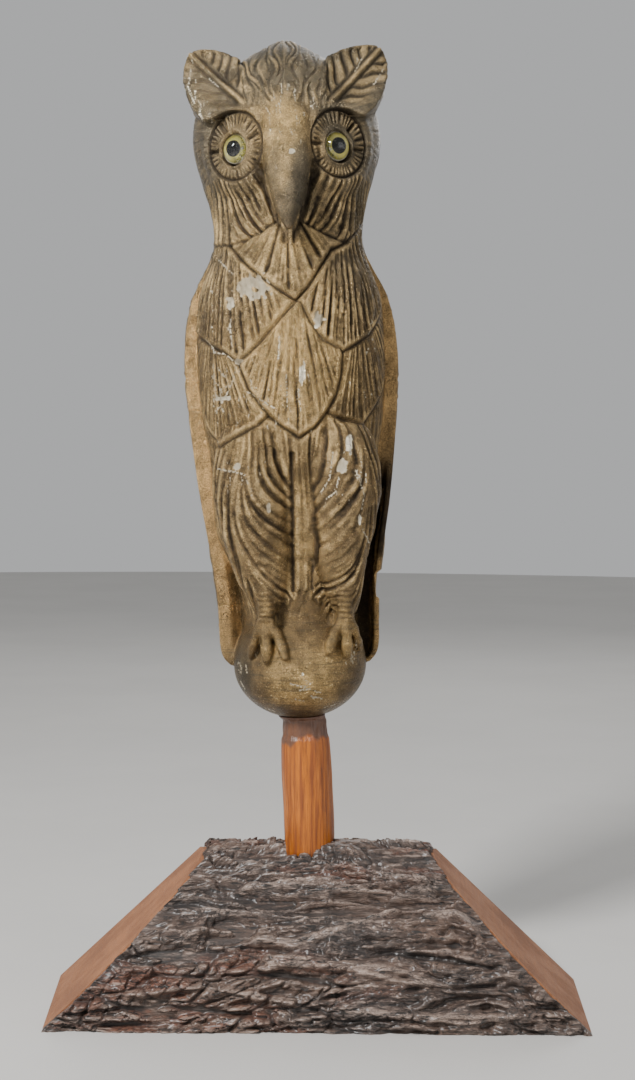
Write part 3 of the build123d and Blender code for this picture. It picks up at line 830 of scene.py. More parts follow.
def carve_owl(owl, sizes):
    """Moves the skin by the front and back maps, the discs, the ears and the feet."""
    points, normals = points_of(owl), normals_of(owl)
    x, y, height = points.T.copy()
    front_map, back_map = carve_front(), carve_back()
    a, b = front_width(height), front_depth(height)
    offset = x - head_shift(height)
    turn = np.arctan2(offset / a, (PARTING_Y - y) / b)
    u = turn * (a + b) / 2
    front = ramp(PARTING_Y - y, 0.5, 5.0)
    aside = ramp(np.abs(np.degrees(turn)), 88, 74)
    ball_away = np.sqrt(x**2 + y**2 + (height - BALL_MIDDLE) ** 2)
    ball_part = ramp(ball_away, 59.5, 57.8) * (height < 108)
    ball_part = np.maximum(ball_part, (height < BALL_MIDDLE) * (np.hypot(x, y) < 58))
    surface = PARTING_Y - b * np.sqrt(np.clip(1 - (offset / a) ** 2, 0, 1))
    beak_rows = np.array(sorted(BEAK), float)
    beak_half = np.interp(height, beak_rows[:, 0], beak_rows[:, 3])
    beak_part = ramp(beak_half + 1.5 - np.abs(x - 2.4), 0, 3) * (y < surface - 0.6)
    beak_part = beak_part * (height > 396) * ramp(height, 522, 494)
    shank = np.zeros(x.shape)
    for rows in (SHANK_LEFT, SHANK_RIGHT):
        table = np.array(sorted(rows), float)
        across = np.abs(x - np.interp(height, table[:, 0], table[:, 1]))
        shank = np.maximum(shank, ramp(across, 7.5, 5) * ramp(height, 119, 108) * (y < -46))
    smooth = np.maximum.reduce([ball_part, beak_part, shank, ramp(height, 84, 76) * (y < 3)])
    keep = (1 - smooth) * front
    keep *= 0.35 + 0.65 * aside
    a2, b2 = back_width(height), back_depth(height)
    back_turn = np.arctan2(offset / a2, (y - PARTING_Y) / b2)
    back_u = back_turn * (a2 + b2) / 2
    back = ramp(y - PARTING_Y, 1.0, 6.0) * (1 - ball_part)
    inner_wing = (normals[:, 1] < -0.35) & (y > PARTING_Y - 1) & (height < 240)
    back = back * ~inner_wing
    sunk = np.zeros(x.shape)
    proud = np.zeros(x.shape)
    keep_discs = np.ones(x.shape)
    points = carve_ears(points, normals, sunk, proud, keep_discs)
    points = carve_eye_discs(points, normals, sunk, proud, keep_discs)
    keep *= keep_discs
    back *= keep_discs
    move = sizes.carving * (keep * front_map.read(front_map.height, u, height))
    move += sizes.carving * back * back_map.read(back_map.height, back_u, height)
    ring = 0.5 + 0.5 * np.cos(2 * math.pi * height / 4.4 + 0.05 * x)
    ringed = shank * ramp(height, 84, 90)
    move += 0.7 * ringed * (ring - 0.5)
    # a hollow beside the beak and under its tip, also darkened as painted shade through the sunk mask
    from_beak = np.abs(x - 2.4) - beak_half
    beside_beak = ramp(from_beak, 6, 2) * ramp(from_beak, 0, 1.5)
    beside_beak *= ramp(height, 482, 455)
    beside_beak *= ramp(height, 390, 397)
    beside_beak *= (y < -30) * (1 - beak_part)
    move -= 2.2 * beside_beak
    chip_and_glint = chip_and_glint_mask(x, height) * (y < -20) * (1 - shank)
    move -= 0.45 * chip_and_glint
    points += normals * move[:, None]
    sunk = np.maximum(sunk, keep * front_map.read(front_map.sunk, u, height))
    sunk = np.maximum(sunk, back * back_map.read(back_map.sunk, back_u, height))
    proud = np.maximum(proud, keep * front_map.read(front_map.proud, u, height))
    proud = np.maximum(proud, back * back_map.read(back_map.proud, back_u, height))
    sunk = np.maximum.reduce([sunk, 0.6 * ringed * (1 - ring), 0.85 * beside_beak])
    rim = (np.abs(y - PARTING_Y) < 2.5) & (height < 392) & (np.abs(offset) > front_width(height) - 1)
    rim = np.maximum(rim, inner_wing * (np.abs(offset) > 50)).astype(float)
    shadow = rim * (offset > 0) * ramp(height, 126, 142) * ramp(height, 245, 195)
    inside_rim = ramp(back_width(height) - offset, 6, 10)
    shadow = np.maximum(shadow, rim * (offset > 0) * (height < 215) * inside_rim)
    rim = rim - np.minimum(rim, shadow)
    sunk = np.maximum(sunk, 0.85 * shadow)
    # the bite out of the right wing's edge
    bite = (offset > 55) * ramp(np.abs(height - 112), 13, 9) * ramp(offset, 66.5, 69)
    points[:, 0] -= bite * 3.5
    # the socket for the post, under the ball
    across = np.hypot(x, y)
    socket = (across < SOCKET_RADIUS) & (height < 24)
    points[socket, 2] = SOCKET_TOP
    ring_edge = (across >= SOCKET_RADIUS) & (across < 18.2) & (height < 24)
    points[ring_edge, :2] *= (17.2 / across[ring_edge])[:, None]
    set_points(owl, points)
    # sunk darkens the paint in the hollows, partly as painted shade; proud lightens raised edges, partly as a
    # painted highlight
    set_mask(owl, "sunk", sunk)
    set_mask(owl, "proud", proud)
    set_mask(owl, "chip_and_glint", chip_and_glint)
    set_mask(owl, "rim", rim)
    set_mask(owl, "level", height / OWL_HEIGHT)
    # golden and darker areas of the paint; some golden ones are painted highlights and some dark ones painted
    # shade
    gold = np.zeros(x.shape)
    for cx, cw, rx, rw, amount in GOLDEN_AND_DARK:
        gold += amount * np.exp(-((((x - cx) / rx) ** 2 + ((height - cw) / rw) ** 2))) * (y < 10)
    set_mask(owl, "gold", np.clip(gold, -1, 1))


def split_halves(owl):
    """Separates the skin into its front and back half along the parting plane."""
    mesh = owl.data
    middles = np.empty(len(mesh.polygons) * 3, np.float32)
    mesh.polygons.foreach_get("center", middles)
    behind = middles.reshape(-1, 3)[:, 1] > PARTING_Y
    only(owl)
    bpy.ops.object.mode_set(mode="EDIT")
    bpy.ops.mesh.select_all(action="DESELECT")
    bpy.ops.object.mode_set(mode="OBJECT")
    mesh.polygons.foreach_set("select", behind)
    bpy.ops.object.mode_set(mode="EDIT")
    bpy.ops.mesh.select_mode(type="FACE")
    bpy.ops.mesh.separate(type="SELECTED")
    bpy.ops.object.mode_set(mode="OBJECT")
    back = next(obj for obj in bpy.context.selected_objects if obj != owl)
    owl.name = owl.data.name = "owl_front"
    back.name = back.data.name = "owl_back"
    return owl, back


# ---------------------------------------------------------------- material tools


def add(tree, kind, inputs=None, **settings):
    """Adds a node, sets it up and links or fills its inputs."""
    node = tree.nodes.new(kind)
    for key, value in settings.items():
        setattr(node, key, value)
    for key, value in (inputs or {}).items():
        if isinstance(value, bpy.types.NodeSocket):
            tree.links.new(value, node.inputs[key])
        else:
            node.inputs[key].default_value = value
    return node


def calc(tree, operation, first, second=0.0, clamp=False):
    """A math node's result."""
    return add(tree, "ShaderNodeMath", {0: first, 1: second}, operation=operation, use_clamp=clamp).outputs[0]


def scaled(tree, value, factor, offset):
    """A value times a factor, plus an offset."""
    inputs = {0: value, 1: factor, 2: offset}
    return add(tree, "ShaderNodeMath", inputs, operation="MULTIPLY_ADD").outputs[0]


def blend(tree, factor, first, second, mode="MIX"):
    """A colour mix."""
    node = add(tree, "ShaderNodeMix", {0: factor, 6: first, 7: second}, data_type="RGBA", blend_type=mode)
    return node.outputs[2]


def spread(tree, value, low, high, out_low=0.0, out_high=1.0):
    """A value moved from one range to another."""
    inputs = {0: value, 1: low, 2: high, 3: out_low, 4: out_high}
    return add(tree, "ShaderNodeMapRange", inputs, interpolation_type="SMOOTHSTEP").outputs[0]


def noise(tree, vector, scale, detail=4.0, roughness=0.6):
    """Fractal noise."""
    inputs = {"Vector": vector, "Scale": scale, "Detail": detail, "Roughness": roughness}
    return add(tree, "ShaderNodeTexNoise", inputs).outputs["Fac"]


def mask(tree, name):
    """A number stored on the mesh."""
    return add(tree, "ShaderNodeAttribute", attribute_name=name).outputs["Fac"]


def new_group(name, inputs, outputs):
    """An empty shader group with its sockets, its input node and its output node."""
    tree = bpy.data.node_groups.new(name, "ShaderNodeTree")
    for label, kind, value in inputs:
        socket = tree.interface.new_socket(label, in_out="INPUT", socket_type=kind)
        if value is not None:
            socket.default_value = value
    for label in outputs:
        tree.interface.new_socket(label, in_out="OUTPUT", socket_type="NodeSocketFloat")
    return tree, tree.nodes.new("NodeGroupInput"), tree.nodes.new("NodeGroupOutput")


def wear_group():
    """Uneven handling: broad patches, small specks and fine grit."""
    tree, source, result = new_group(
        "Wear and Dust",
        [("Vector", "NodeSocketVector", None), ("Patch Size", "NodeSocketFloat", 0.06),
         ("Speck Size", "NodeSocketFloat", 0.002)],
        ["Patches", "Specks", "Grit"],
    )
    vector = source.outputs["Vector"]
    patch_scale = calc(tree, "DIVIDE", 1.0, source.outputs["Patch Size"])
    speck_scale = calc(tree, "DIVIDE", 1.0, source.outputs["Speck Size"])
    patches = noise(tree, vector, patch_scale, 5.0, 0.65)
    specks = noise(tree, vector, speck_scale, 3.0, 0.7)
    grit = noise(tree, vector, calc(tree, "MULTIPLY", speck_scale, 2.7), 2.0, 0.6)
    tree.links.new(spread(tree, patches, 0.35, 0.65), result.inputs["Patches"])
    tree.links.new(spread(tree, specks, 0.56, 0.72), result.inputs["Specks"])
    tree.links.new(grit, result.inputs["Grit"])
    return tree


def grain_group():
    """Wood grain along one axis of its vector."""
    tree, source, result = new_group(
        "Wood Grain",
        [("Vector", "NodeSocketVector", None), ("Scale", "NodeSocketFloat", 220.0)],
        ["Streaks", "Pores"],
    )
    vector = source.outputs["Vector"]
    streaks = noise(tree, vector, source.outputs["Scale"], 6.0, 0.65)
    pores = noise(tree, vector, calc(tree, "MULTIPLY", source.outputs["Scale"], 3.3), 3.0, 0.7)
    tree.links.new(spread(tree, streaks, 0.36, 0.66), result.inputs["Streaks"])
    tree.links.new(spread(tree, pores, 0.5, 0.72), result.inputs["Pores"])
    return tree


def use_group(tree, group, inputs):
    """Places a shader group in a material."""
    node = add(tree, "ShaderNodeGroup", node_tree=group)
    for key, value in inputs.items():
        if isinstance(value, bpy.types.NodeSocket):
            tree.links.new(value, node.inputs[key])
        else:
            node.inputs[key].default_value = value
    return node.outputs


def new_material(name, **surface):
    """A material with a Principled surface; its constant values go on the shader's own sockets."""
    material = bpy.data.materials.new(name)
    material.use_nodes = True
    tree = material.node_tree
    shader = tree.nodes["Principled BSDF"]
    for key, value in surface.items():
        shader.inputs[key.replace("_", " ").title().replace("Ior", "IOR")].default_value = value
    return material, tree, shader


def relief(tree, shader, height, distance, strength=1.0, normal=None):
    """Feeds a bump's height to the surface."""
    inputs = {"Height": height, "Distance": distance, "Strength": strength}
    if normal is not None:
        inputs["Normal"] = normal
    bump = add(tree, "ShaderNodeBump", inputs)
    tree.links.new(bump.outputs[0], shader.inputs["Normal"])
    return bump.outputs[0]


def stretched(tree, scale):
    """Object coordinates scaled along each axis."""
    place_in = add(tree, "ShaderNodeTexCoord").outputs["Object"]
    return add(tree, "ShaderNodeMapping", {"Vector": place_in, "Scale": scale}).outputs[0]


def tint(colour):
    """A colour property as four numbers."""
    return (*colour, 1.0)


# ---------------------------------------------------------------- materials


def bronze_paint(colours, wear):
    """Aged bronze paint over moulded paper: dark in the gouges, partly grime and partly painted shade; golden
    where it is worn, with painted highlights on raised edges and painted glints in small specks.
    """
    material, tree, shader = new_material("aged_bronze_paint", metallic=0.72, specular_ior_level=0.6)
    place_in = stretched(tree, (1, 1, 1))
    worn = use_group(tree, wear, {"Vector": place_in, "Patch Size": 0.045, "Speck Size": 0.0016})
    broad = use_group(tree, wear, {"Vector": place_in, "Patch Size": 0.11, "Speck Size": 0.005})
    sunk, proud, gold = mask(tree, "sunk"), mask(tree, "proud"), mask(tree, "gold")
    cloud = scaled(tree, broad["Patches"], 0.5, -0.1)
    glow = calc(tree, "ADD", calc(tree, "MULTIPLY", gold, 0.75), cloud)
    upper = spread(tree, mask(tree, "level"), 0.5, 0.85)
    base = blend(tree, upper, tint(colours.paint_brown), tint(colours.paint_grey))
    base = blend(tree, spread(tree, glow, 0.0, 1.0, 0.0, 0.95), base, tint(colours.paint_gold_and_highlight))
    # raised edges go lighter, partly worn paint and partly a painted highlight
    rubbed_and_lit = calc(tree, "MULTIPLY", proud, spread(tree, worn["Patches"], 0.0, 1.0, 0.15, 0.9))
    base = blend(tree, rubbed_and_lit, base, tint(colours.paint_rubbed_and_lit))
    rim = calc(tree, "MULTIPLY", mask(tree, "rim"), spread(tree, worn["Patches"], 0.0, 1.0, 0.7, 1.0))
    base = blend(tree, rim, base, tint(colours.paint_rim))
    # below zero the areas go darker; on the beak's tip and right side this is painted shade
    dull = spread(tree, glow, 0.0, -0.7)
    soot_and_shade = calc(tree, "MULTIPLY", dull, spread(tree, worn["Grit"], 0.35, 0.65, 0.3, 0.8))
    base = blend(tree, soot_and_shade, base, tint(colours.paint_soot_and_shade))
    # the gouges and hollows go dark, partly as grime and partly as painted shade
    grime_and_shade = calc(tree, "MULTIPLY", sunk, 0.95)
    base = blend(tree, grime_and_shade, base, tint(colours.gouge_grime_and_shade))
    # small pale gold specks, partly worn paint and partly painted glints
    flecks_and_glints = calc(tree, "MULTIPLY", worn["Specks"], spread(tree, glow, -0.4, 0.7, 0.15, 1.0))
    flecks_and_glints = calc(tree, "MULTIPLY", flecks_and_glints, calc(tree, "SUBTRACT", 1.0, grime_and_shade))
    base = blend(tree, calc(tree, "MULTIPLY", flecks_and_glints, 0.9), base, tint(colours.paint_fleck_and_glint))
    lines = noise(tree, stretched(tree, (0.05, 0.05, 1)), 520.0, 3.0)
    on_ball = spread(tree, mask(tree, "level"), 0.17, 0.14)
    turned = calc(tree, "MULTIPLY", spread(tree, lines, 0.5, 0.66), on_ball)
    base = blend(tree, calc(tree, "MULTIPLY", turned, 0.55), base, tint(colours.paint_soot_and_shade))
    shade = spread(tree, worn["Grit"], 0.34, 0.66, 0.42, 1.55)
    smudge = spread(tree, noise(tree, place_in, 75.0, 4.0, 0.7), 0.38, 0.62, 0.72, 1.28)
    shade = calc(tree, "MULTIPLY", shade, smudge)
    grey = add(tree, "ShaderNodeCombineColor", {0: shade, 1: shade, 2: shade}).outputs[0]
    base = blend(tree, 1.0, base, grey, "MULTIPLY")
    # bare plaster where the paint is off, and painted glints of the same colour on the beak and the left ear
    chip_and_glint = mask(tree, "chip_and_glint")
    plaster = blend(tree, worn["Patches"], tint(colours.plaster), tint(colours.plaster_dirty))
    base = blend(tree, spread(tree, chip_and_glint, 0.3, 0.7), base, plaster)
    tree.links.new(base, shader.inputs["Base Color"])
    rough = spread(tree, worn["Patches"], 0.0, 1.0, 0.24, 0.4)
    rough = calc(tree, "ADD", rough, calc(tree, "MULTIPLY", sunk, 0.2), True)
    tree.links.new(rough, shader.inputs["Roughness"])
    height = calc(tree, "MULTIPLY", worn["Grit"], 0.6)
    height = calc(tree, "ADD", height, calc(tree, "MULTIPLY", worn["Specks"], 0.5))
    relief(tree, shader, height, 0.0013, 1.0)
    return material


def eye_glass():
    """Clear glass of the eye."""
    material, tree, shader = new_material(
        "eye_glass", base_color=(1, 1, 1, 1), roughness=0.02, ior=1.5, transmission_weight=1.0
    )
    smear = noise(tree, stretched(tree, (1, 1, 1)), 160.0)
    tree.links.new(spread(tree, smear, 0.4, 0.8, 0.01, 0.06), shader.inputs["Roughness"])
    return material


def eye_enamel(colours, wear, side):
    """Painted iris: pale near the pupil and greener at its edge."""
    material, tree, shader = new_material(f"eye_enamel_{side}", roughness=0.35)
    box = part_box(f"{side}_eye_iris")
    middle = (box[0] + box[1]) / 2
    place_in = add(tree, "ShaderNodeTexCoord").outputs["Object"]
    away = add(tree, "ShaderNodeVectorMath", {0: place_in, 1: middle}, operation="DISTANCE").outputs["Value"]
    worn = use_group(tree, wear, {"Vector": place_in, "Patch Size": 0.006, "Speck Size": 0.0006})
    ring = spread(tree, away, 0.0062, 0.0108)
    base = blend(tree, ring, tint(colours.iris_inner), tint(colours.iris_outer))
    base = blend(tree, calc(tree, "MULTIPLY", worn["Grit"], 0.35), base, tint(colours.iris_inner))
    tree.links.new(base, shader.inputs["Base Color"])
    return material


def plain_finish(name, colour, dark, wear, patch, speck, bump, **surface):
    """A finish with broad and fine variation between two colours."""
    material, tree, shader = new_material(name, **surface)
    place_in = stretched(tree, (1, 1, 1))
    worn = use_group(tree, wear, {"Vector": place_in, "Patch Size": patch, "Speck Size": speck})
    mixed = calc(tree, "MULTIPLY", worn["Patches"], spread(tree, worn["Grit"], 0.3, 0.7, 0.4, 1.0))
    tree.links.new(blend(tree, mixed, tint(colour), tint(dark)), shader.inputs["Base Color"])
    relief(tree, shader, worn["Grit"], bump, 0.6)
    return material


def post_wood(colours, wear, grain):
    """Varnished peeled branch, dark and scuffed at its top."""
    material, tree, shader = new_material("varnished_branch", coat_weight=0.16, coat_roughness=0.2)
    lines = use_group(tree, grain, {"Vector": stretched(tree, (1, 1, 0.045)), "Scale": 300.0})
    place_in = stretched(tree, (1, 1, 0.5))
    worn = use_group(tree, wear, {"Vector": place_in, "Patch Size": 0.03, "Speck Size": 0.002})
    base = blend(tree, lines["Streaks"], tint(colours.post_light), tint(colours.post_dark))
    base = blend(tree, calc(tree, "MULTIPLY", lines["Pores"], 0.55), base, tint(colours.post_pore))
    base = blend(tree, calc(tree, "MULTIPLY", worn["Patches"], 0.3), base, tint(colours.post_dark))
    scuffed = blend(tree, worn["Grit"], tint(colours.post_pore), tint(colours.scuff))
    base = blend(tree, mask(tree, "scuff"), base, scuffed)
    base = blend(tree, mask(tree, "foot"), base, tint(colours.post_pore))
    tree.links.new(base, shader.inputs["Base Color"])
    tree.links.new(spread(tree, lines["Streaks"], 0.0, 1.0, 0.3, 0.46), shader.inputs["Roughness"])
    relief(tree, shader, lines["Streaks"], 0.0005, 0.6)
    return material


def bark_skin(colours, wear):
    """Varnished bark: near black in its cracks and hollows, partly its own colour and partly painted shade;
    brown and grey on its plates, with a painted highlight of pale grey on their tops.
    """
    material, tree, shader = new_material("varnished_bark", coat_weight=0.5, coat_roughness=0.33)
    place_in = stretched(tree, (0.35, 1, 1))
    worn = use_group(tree, wear, {"Vector": place_in, "Patch Size": 0.016, "Speck Size": 0.0016})
    broad = use_group(tree, wear, {"Vector": place_in, "Patch Size": 0.05, "Speck Size": 0.004})
    bend = add(tree, "ShaderNodeVectorMath", {0: place_in, 1: (1, 1, 1)}, operation="ADD")
    sway = add(tree, "ShaderNodeTexNoise", {"Vector": place_in, "Scale": 90.0, "Detail": 2.0})
    sway = sway.outputs["Color"]
    bend = add(tree, "ShaderNodeMix", {0: 0.018, 4: bend.outputs[0], 5: sway}, data_type="VECTOR").outputs[1]
    seam = add(tree, "ShaderNodeTexVoronoi", {"Vector": bend, "Scale": 250.0}, feature="DISTANCE_TO_EDGE")
    fibre = noise(tree, stretched(tree, (0.16, 1, 1)), 330.0, 5.0, 0.7)
    crackle = calc(tree, "MULTIPLY", spread(tree, seam.outputs["Distance"], 0.13, 0.02), worn["Patches"])
    top, crack = mask(tree, "proud"), mask(tree, "sunk")
    base = blend(tree, broad["Patches"], tint(colours.bark_brown), tint(colours.bark_dark))
    red = calc(tree, "MULTIPLY", spread(tree, worn["Patches"], 0.3, 0.9), mask(tree, "red"))
    base = blend(tree, calc(tree, "MULTIPLY", red, 0.75), base, tint(colours.bark_red))
    # the tops of the bark go pale grey as a painted highlight, partly grey bark
    ridge_highlight = calc(tree, "POWER", top, 1.6)
    grey = calc(tree, "MULTIPLY", ridge_highlight, spread(tree, worn["Grit"], 0.4, 0.6, 0.3, 1.0))
    base = blend(tree, grey, base, tint(colours.bark_grey_and_highlight))
    base = blend(tree, spread(tree, fibre, 0.52, 0.64, 0.0, 0.65), base, tint(colours.bark_grey_and_highlight))
    # cracks and hollows go near black, partly their own colour and partly painted shade
    dark = calc(tree, "MAXIMUM", crack, calc(tree, "MULTIPLY", crackle, 0.7))
    dark = calc(tree, "MAXIMUM", dark, spread(tree, fibre, 0.48, 0.38, 0.0, 0.95))
    base = blend(tree, dark, base, tint(colours.bark_crack))
    tree.links.new(base, shader.inputs["Base Color"])
    rough = spread(tree, worn["Patches"], 0.0, 1.0, 0.36, 0.55)
    rough = calc(tree, "ADD", rough, calc(tree, "MULTIPLY", dark, 0.3), True)
    tree.links.new(rough, shader.inputs["Roughness"])
    height = calc(tree, "MULTIPLY", calc(tree, "ADD", worn["Grit"], broad["Grit"]), 0.6)
    height = calc(tree, "SUBTRACT", scaled(tree, fibre, 3.0, height), calc(tree, "MULTIPLY", crackle, 0.7))
    relief(tree, shader, height, 0.0013, 0.8)
    return material


def sawn_wood(colours, wear, grain):
    """Stained sawn faces of the log: faint rings, saw marks and small checks."""
    material, tree, shader = new_material("stained_end_grain", specular_ior_level=0.35)
    place_in = add(tree, "ShaderNodeTexCoord").outputs["Object"]
    split = add(tree, "ShaderNodeSeparateXYZ", {0: place_in})
    up = calc(tree, "SUBTRACT", split.outputs["Z"], LOG_CENTRE_HEIGHT / 1000)
    back = calc(tree, "SUBTRACT", split.outputs["Y"], LOG_CENTRE_Y)
    squares = calc(tree, "ADD", calc(tree, "MULTIPLY", back, back), calc(tree, "MULTIPLY", up, up))
    away = calc(tree, "SQRT", squares)
    wobble = noise(tree, place_in, 14.0, 2.0)
    phase = calc(tree, "MULTIPLY", away, 1900.0)
    phase = calc(tree, "ADD", phase, calc(tree, "MULTIPLY", wobble, 22.0))
    ring = calc(tree, "SINE", phase)
    worn = use_group(tree, wear, {"Vector": place_in, "Patch Size": 0.05, "Speck Size": 0.002})
    saw = use_group(tree, grain, {"Vector": stretched(tree, (1, 0.06, 1)), "Scale": 260.0})
    base = blend(tree, worn["Patches"], tint(colours.sawn_light), tint(colours.sawn_dark))
    ring = calc(tree, "MULTIPLY", spread(tree, ring, -1.0, 1.0), 0.25)
    base = blend(tree, ring, base, tint(colours.sawn_dark))
    base = blend(tree, calc(tree, "MULTIPLY", saw["Streaks"], 0.3), base, tint(colours.sawn_dark))
    base = blend(tree, calc(tree, "MULTIPLY", worn["Specks"], 0.5), base, tint(colours.bark_crack))
    tree.links.new(base, shader.inputs["Base Color"])
    tree.links.new(spread(tree, worn["Patches"], 0.0, 1.0, 0.5, 0.66), shader.inputs["Roughness"])
    relief(tree, shader, calc(tree, "ADD", saw["Streaks"], worn["Grit"]), 0.0006, 0.8)
    return material


def bare_wood(grain):
    """Pale unfinished wood inside the owl."""
    material, tree, shader = new_material("bare_wood", roughness=0.7)
    lines = use_group(tree, grain, {"Vector": stretched(tree, (1, 1, 0.06)), "Scale": 250.0})
    base = blend(tree, lines["Streaks"], (0.5, 0.34, 0.18, 1), (0.3, 0.17, 0.08, 1))
    tree.links.new(base, shader.inputs["Base Color"])
    relief(tree, shader, lines["Streaks"], 0.0004, 0.6)
    return material


# ---------------------------------------------------------------- settings


def length(name, description, default):
    """A size in metres."""
    return FloatProperty(name=name, description=description, default=default, min=0.0, unit="LENGTH")


def colour(name, description, default):
    """A linear colour."""
    return FloatVectorProperty(
        name=name, description=description, default=default, size=3, min=0, max=1, subtype="COLOR"
    )


class OwlSizes(bpy.types.PropertyGroup):
    """Sizes of the owl, the post and the bark."""

    carving: FloatProperty(
        name="Carving", description="Depth of the carving, as a factor", default=1.0, min=0.0
    )
    skin_detail: length("Skin detail", "Spacing of the owl's surface points", 0.0009)
    bark_detail: length("Bark detail", "Spacing of the bark's surface points", 0.001)
    bark_relief: length("Bark relief", "Height of the bark's ridges", 0.012)


class OwlColours(bpy.types.PropertyGroup):
    """Colours of every finish."""

    paint_grey: colour("Grey paint", "Paint on the head and breast", (0.116, 0.093, 0.058))
    paint_brown: colour("Brown paint", "Paint on the legs and ball", (0.130, 0.084, 0.036))
    # golden paint, which on the beak and the toes is a painted highlight
    paint_gold_and_highlight: colour("Golden paint", "Paint in the golden areas", (0.400, 0.265, 0.105))
    # lighter paint on raised edges, partly worn and partly a painted highlight
    paint_rubbed_and_lit: colour("Rubbed paint", "Paint on rubbed edges", (0.520, 0.365, 0.170))
    # darker paint in the dull areas and on the ball's turned lines; on the beak's tip and right side it is
    # painted shade
    paint_soot_and_shade: colour("Sooty paint", "Paint in the dull areas", (0.052, 0.046, 0.030))
    paint_rim: colour("Rim paint", "Paint on the wings' rims", (0.380, 0.240, 0.098))
    # dark paint in the gouges and hollows, partly grime and partly painted shade
    gouge_grime_and_shade: colour("Dark paint", "Paint in the gouges", (0.022, 0.014, 0.007))
    # pale gold of the small specks, partly worn paint and partly painted glints
    paint_fleck_and_glint: colour("Flecks", "Small rubbed flecks", (0.780, 0.600, 0.320))
    # also the colour of the small painted glints on the beak and the left ear
    plaster: colour("Plaster", "Bare ground under the paint", (0.700, 0.640, 0.500))
    plaster_dirty: colour("Dirty plaster", "Stained ground under the paint", (0.400, 0.340, 0.240))
    iris_inner: colour("Iris", "Iris beside the pupil", (0.640, 0.560, 0.110))
    iris_outer: colour("Iris edge", "Outer part of the iris", (0.380, 0.350, 0.070))
    post_light: colour("Post", "Light wood of the post", (0.500, 0.140, 0.004))
    post_dark: colour("Post streaks", "Dark streaks of the post", (0.190, 0.043, 0.004))
    post_pore: colour("Post pores", "Pores of the post", (0.050, 0.015, 0.005))
    scuff: colour("Scuffed wood", "Scuffed top of the post", (0.130, 0.070, 0.044))
    bark_brown: colour("Bark", "Main colour of the bark", (0.108, 0.060, 0.038))
    bark_dark: colour("Dark bark", "Dark patches of the bark", (0.036, 0.023, 0.018))
    bark_red: colour("Red bark", "Reddish patches of the bark", (0.170, 0.052, 0.022))
    # pale grey of the bark's streaks, and a painted highlight on its tops
    bark_grey_and_highlight: colour("Grey bark", "Ridges of the bark", (0.420, 0.310, 0.250))
    # near black of the cracks and hollows, partly painted shade; also the dark specks on the sawn ends
    bark_crack: colour("Bark cracks", "Cracks of the bark", (0.006, 0.004, 0.003))
    sawn_light: colour("Sawn wood", "Stain on the log's ends", (0.350, 0.140, 0.052))
    sawn_dark: colour("Dark sawn wood", "Darker stain on the log's ends", (0.215, 0.090, 0.042))


class StageSettings(bpy.types.PropertyGroup):
    """Floor, lights and camera."""

    floor_size: length("Floor", "Half the floor's width", 6.0)
    floor_colour: colour("Floor colour", "Colour of the floor", (0.54, 0.525, 0.50))
    camera_distance: length("Camera distance", "Camera to the post's axis", 1.35)
    camera_height: length("Camera height", "Camera above the floor", 0.4414)
    camera_side: FloatProperty(
        name="Camera side",
        description="Camera to the right of the middle",
        default=-0.0027,
        unit="LENGTH",
    )
    camera_tilt: FloatProperty(
        name="Camera tilt",
        description="How far the camera looks down",
        default=math.radians(2.276),
        subtype="ANGLE",
    )
    camera_roll: FloatProperty(
        name="Camera roll",
        description="Turn about the view",
        default=math.radians(0.45),
        subtype="ANGLE",
    )
    lens: FloatProperty(
        name="Lens",
        description="Focal length on a 24 mm high sensor",
        default=35.22,
        subtype="DISTANCE_CAMERA",
    )


# ---------------------------------------------------------------- operators


def shared_groups():
    """The shader groups, built once."""
    wear = bpy.data.node_groups.get("Wear and Dust") or wear_group()
    grain = bpy.data.node_groups.get("Wood Grain") or grain_group()
    return wear, grain


def set_material(obj, material):
    """Gives an object one material."""
    obj.data.materials.clear()
    obj.data.materials.append(material)


def finish_piece(obj, body, nodes, material):
    """Shades a new piece smooth and ties it to the part."""
    only(obj)
    bpy.ops.object.shade_smooth()
    set_material(obj, material)
    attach(obj, body)
    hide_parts(*nodes)


class OWL_OT_body(bpy.types.Operator):
    """Builds the owl's front and back half"""

    bl_idname = "owl_decoy.body"
    bl_label = "Owl"

    def execute(self, context):
        sizes = context.scene.owl_sizes
        voxel = sizes.skin_detail * 1000 * 1
        owl = owl_base(voxel)
        carve_owl(owl, sizes)
        triangles = len(owl.data.loops) - 2 * len(owl.data.polygons)
        if triangles > OWL_TRIANGLES:
            apply_modifier(owl, "DECIMATE", decimate_type="COLLAPSE", ratio=OWL_TRIANGLES / triangles)
        halves = split_halves(owl)
        wear, _ = shared_groups()
        paint = bronze_paint(context.scene.owl_colours, wear)
        for half, node in zip(halves, ("front_shell", "back_shell")):
            place(half, perch_matrix(OWL_FOOT))
            finish_piece(half, "owl", [node], paint)
        return {"FINISHED"}


